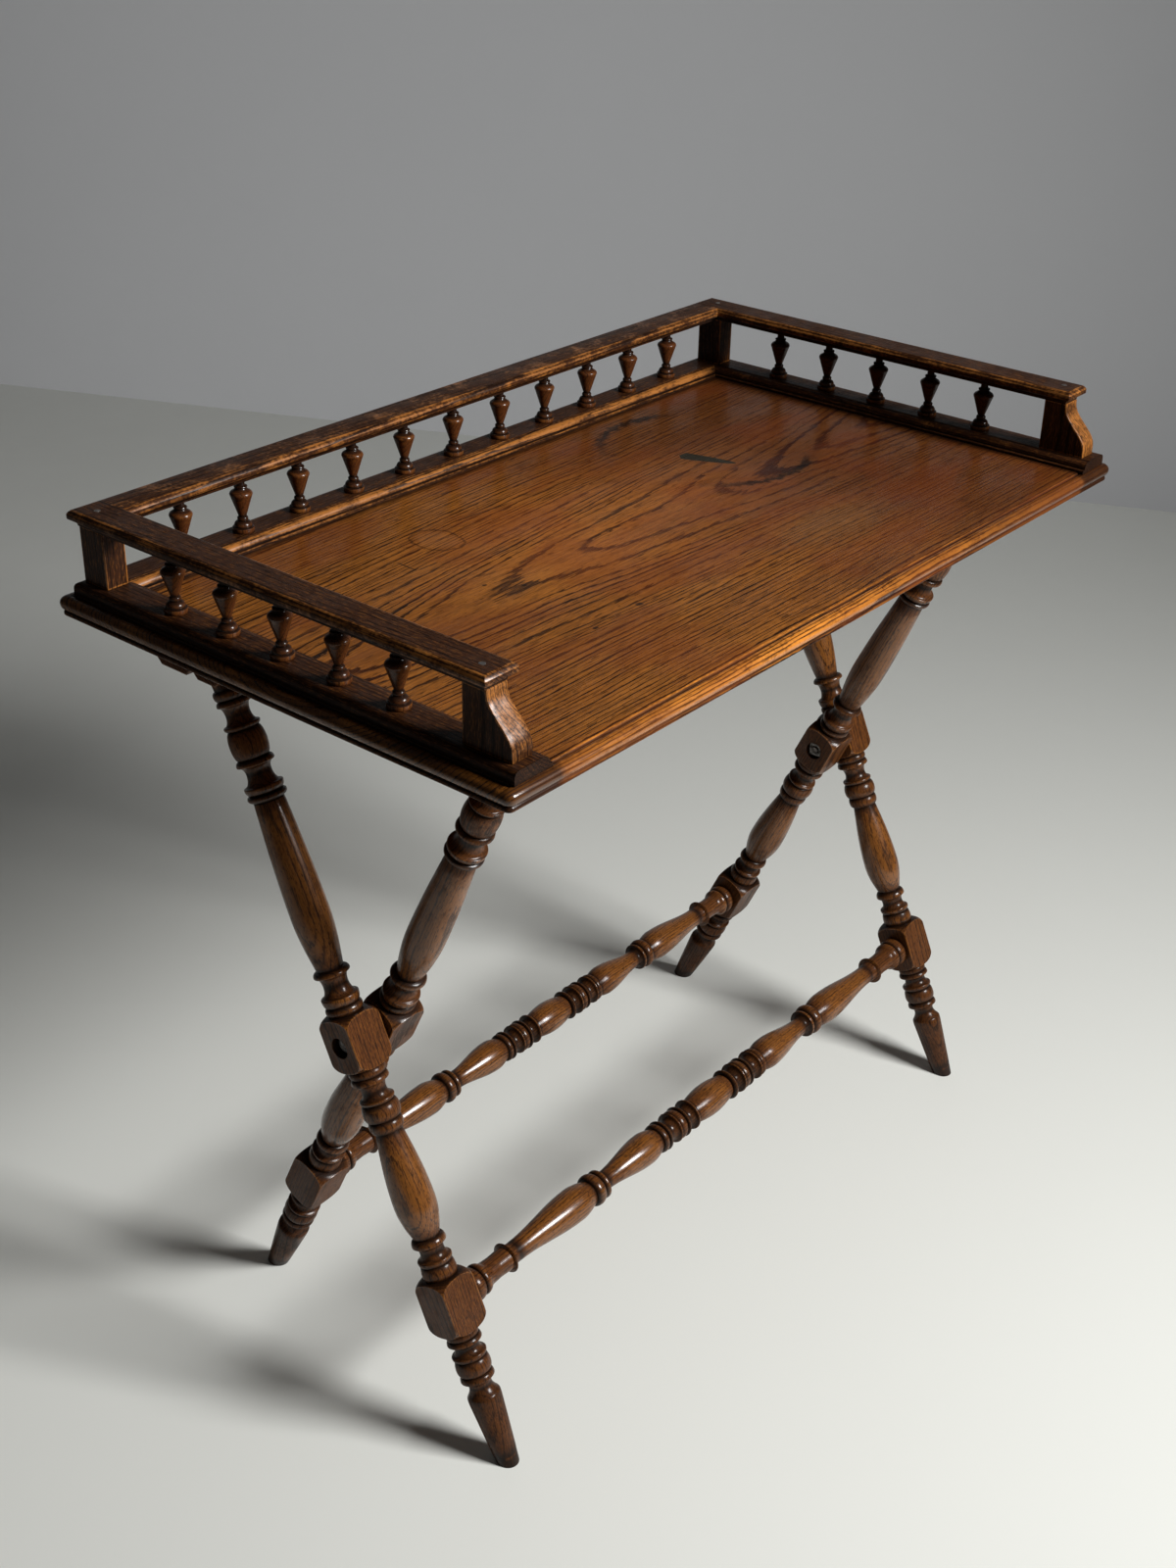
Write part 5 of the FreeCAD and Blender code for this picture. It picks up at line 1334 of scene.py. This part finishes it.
class TRAYTABLE_OT_stage(bpy.types.Operator):
    """Pale floor, grey backdrop, soft light and the camera"""

    bl_idname = "tray_table.stage"
    bl_label = "Stage"
    bl_options = {"REGISTER", "UNDO"}

    def execute(self, context):
        tones = context.scene.tray_table_finishes
        self.floor(tones)
        self.wall(tones)
        self.light(context, tones)
        self.camera(context)
        context.scene.view_settings.view_transform = "Standard"
        return {"FINISHED"}

    def sheet(self, name, matrix, tone, along=None):
        """Sheet of the stage, faintly uneven in tone. A backdrop gets a painted shade that darkens it along a
        direction, and has one side.
        """
        mesh = bmesh.new()
        bmesh.ops.create_grid(mesh, x_segments=2, y_segments=2, size=SHEET_HALF, matrix=matrix)
        data = bpy.data.meshes.new(name)
        mesh.to_mesh(data)
        mesh.free()
        material, bench, shader = new_material(name)
        place = bench.node("ShaderNodeTexCoord").outputs["Object"]
        patch = bench.ramp(bench.noise(place, 2.3, 5.0, 0.6), 0.3, 0.7)
        paint = bench.mix(bench.times(patch, 0.35), tone, tuple(value * 0.93 for value in tone))
        if along is not None:
            # Painted shade: the backdrop darkens along its width
            far = bench.vector("DOT_PRODUCT", place, along)
            paint = bench.mix(bench.ramp(far, *WALL_PAINTED_SHADE_SPAN), paint, tuple(value * WALL_PAINTED_SHADE_DEPTH for value in tone))
        bench.fill(shader.inputs, {"Base Color": paint, "Roughness": bench.ramp(patch, 0.0, 1.0, 0.55, 0.75)})
        if along is not None:
            seen = bench.node("ShaderNodeMixShader", {
                0: bench.node("ShaderNodeNewGeometry").outputs["Backfacing"],
                1: shader.outputs[0], 2: bench.node("ShaderNodeBsdfTransparent").outputs[0],
            })
            output = next(node for node in bench.tree.nodes if node.type == "OUTPUT_MATERIAL")
            bench.feed(output.inputs["Surface"], seen.outputs[0])
        data.materials.append(material)
        sheet = bpy.data.objects.new(name, data)
        bpy.context.scene.collection.objects.link(sheet)

    def floor(self, tones):
        """Floor under the feet."""
        self.sheet("floor", Matrix.Translation((0, 0, -0.2 * MM)), tones.floor[:])

    def wall(self, tones):
        """Backdrop with a painted shade along it, seen only from the table's side."""
        turn = (-WALL_NORMAL).to_track_quat("Z", "Y").to_matrix().to_4x4()
        self.sheet("backdrop", Matrix.Translation(WALL_NORMAL * WALL_DISTANCE) @ turn, tones.wall[:],
                   WALL_NORMAL.cross(Vector((0.0, 0.0, 1.0))))

    def light(self, context, tones):
        """One large soft light in front and a weak even fill."""
        lamp = bpy.data.lights.new("window", "AREA")
        lamp.shape = "RECTANGLE"
        lamp.size, lamp.size_y = WINDOW_SIZE
        lamp.spread = math.radians(WINDOW_SPREAD)
        lamp.energy = tones.key_power
        window = bpy.data.objects.new("window", lamp)
        window.location = WINDOW_PLACE
        window.rotation_euler = (WINDOW_AIM - WINDOW_PLACE).to_track_quat("-Z", "Y").to_euler()
        context.scene.collection.objects.link(window)
        world = bpy.data.worlds.new("room")
        world.use_nodes = True
        background = world.node_tree.nodes["Background"]
        background.inputs["Color"].default_value = (1.0, 0.98, 0.95, 1.0)
        background.inputs["Strength"].default_value = tones.sky
        context.scene.world = world

    def camera(self, context):
        """Camera where the photograph was taken."""
        yaw, pitch, roll = (math.radians(angle) for angle in CAMERA_TURN)
        forward = Vector((math.sin(yaw) * math.cos(pitch), math.cos(yaw) * math.cos(pitch), math.sin(pitch)))
        right = forward.cross(Vector((0, 0, 1))).normalized()
        up = right.cross(forward)
        across = math.cos(roll) * right + math.sin(roll) * up
        upward = -math.sin(roll) * right + math.cos(roll) * up
        data = bpy.data.cameras.new("camera")
        data.lens = CAMERA_LENS
        data.sensor_width = 36.0
        camera = bpy.data.objects.new("camera", data)
        turn = Matrix((across, upward, -forward)).transposed().to_4x4()
        camera.matrix_world = Matrix.Translation(CAMERA_PLACE) @ turn
        context.scene.collection.objects.link(camera)
        context.scene.camera = camera


STEPS = (
    TRAYTABLE_OT_tray_board, TRAYTABLE_OT_gallery_soles, TRAYTABLE_OT_gallery_rails,
    TRAYTABLE_OT_gallery_uprights, TRAYTABLE_OT_spindles, TRAYTABLE_OT_legs, TRAYTABLE_OT_stretchers,
    TRAYTABLE_OT_under_rails, TRAYTABLE_OT_hinges, TRAYTABLE_OT_pivots, TRAYTABLE_OT_stage,
)


class TRAYTABLE_PT_steps(bpy.types.Panel):
    """Lists the pieces of the tray table and its finishes"""

    bl_label = "Tray Table"
    bl_idname = "TRAYTABLE_PT_steps"
    bl_space_type = "VIEW_3D"
    bl_region_type = "UI"
    bl_category = "Tray Table"

    def draw(self, context):
        column = self.layout.column()
        for step in STEPS:
            column.operator(step.bl_idname)
        for group in (context.scene.tray_table_sizes, context.scene.tray_table_finishes):
            for name in group.bl_rna.properties.keys():
                if name not in ("rna_type", "name"):
                    self.layout.prop(group, name)


CLASSES = (TrayTableSizes, TrayTableFinishes, *STEPS, TRAYTABLE_PT_steps)


def register():
    for item in CLASSES:
        bpy.utils.register_class(item)
    bpy.types.Scene.tray_table_sizes = PointerProperty(type=TrayTableSizes)
    bpy.types.Scene.tray_table_finishes = PointerProperty(type=TrayTableFinishes)


def unregister():
    del bpy.types.Scene.tray_table_finishes
    del bpy.types.Scene.tray_table_sizes
    for item in reversed(CLASSES):
        bpy.utils.unregister_class(item)


def main():
    """Make the whole table."""
    register()
    for step in STEPS:
        family, name = step.bl_idname.split(".")
        getattr(getattr(bpy.ops, family), name)()


if __name__ == "__main__":
    main()
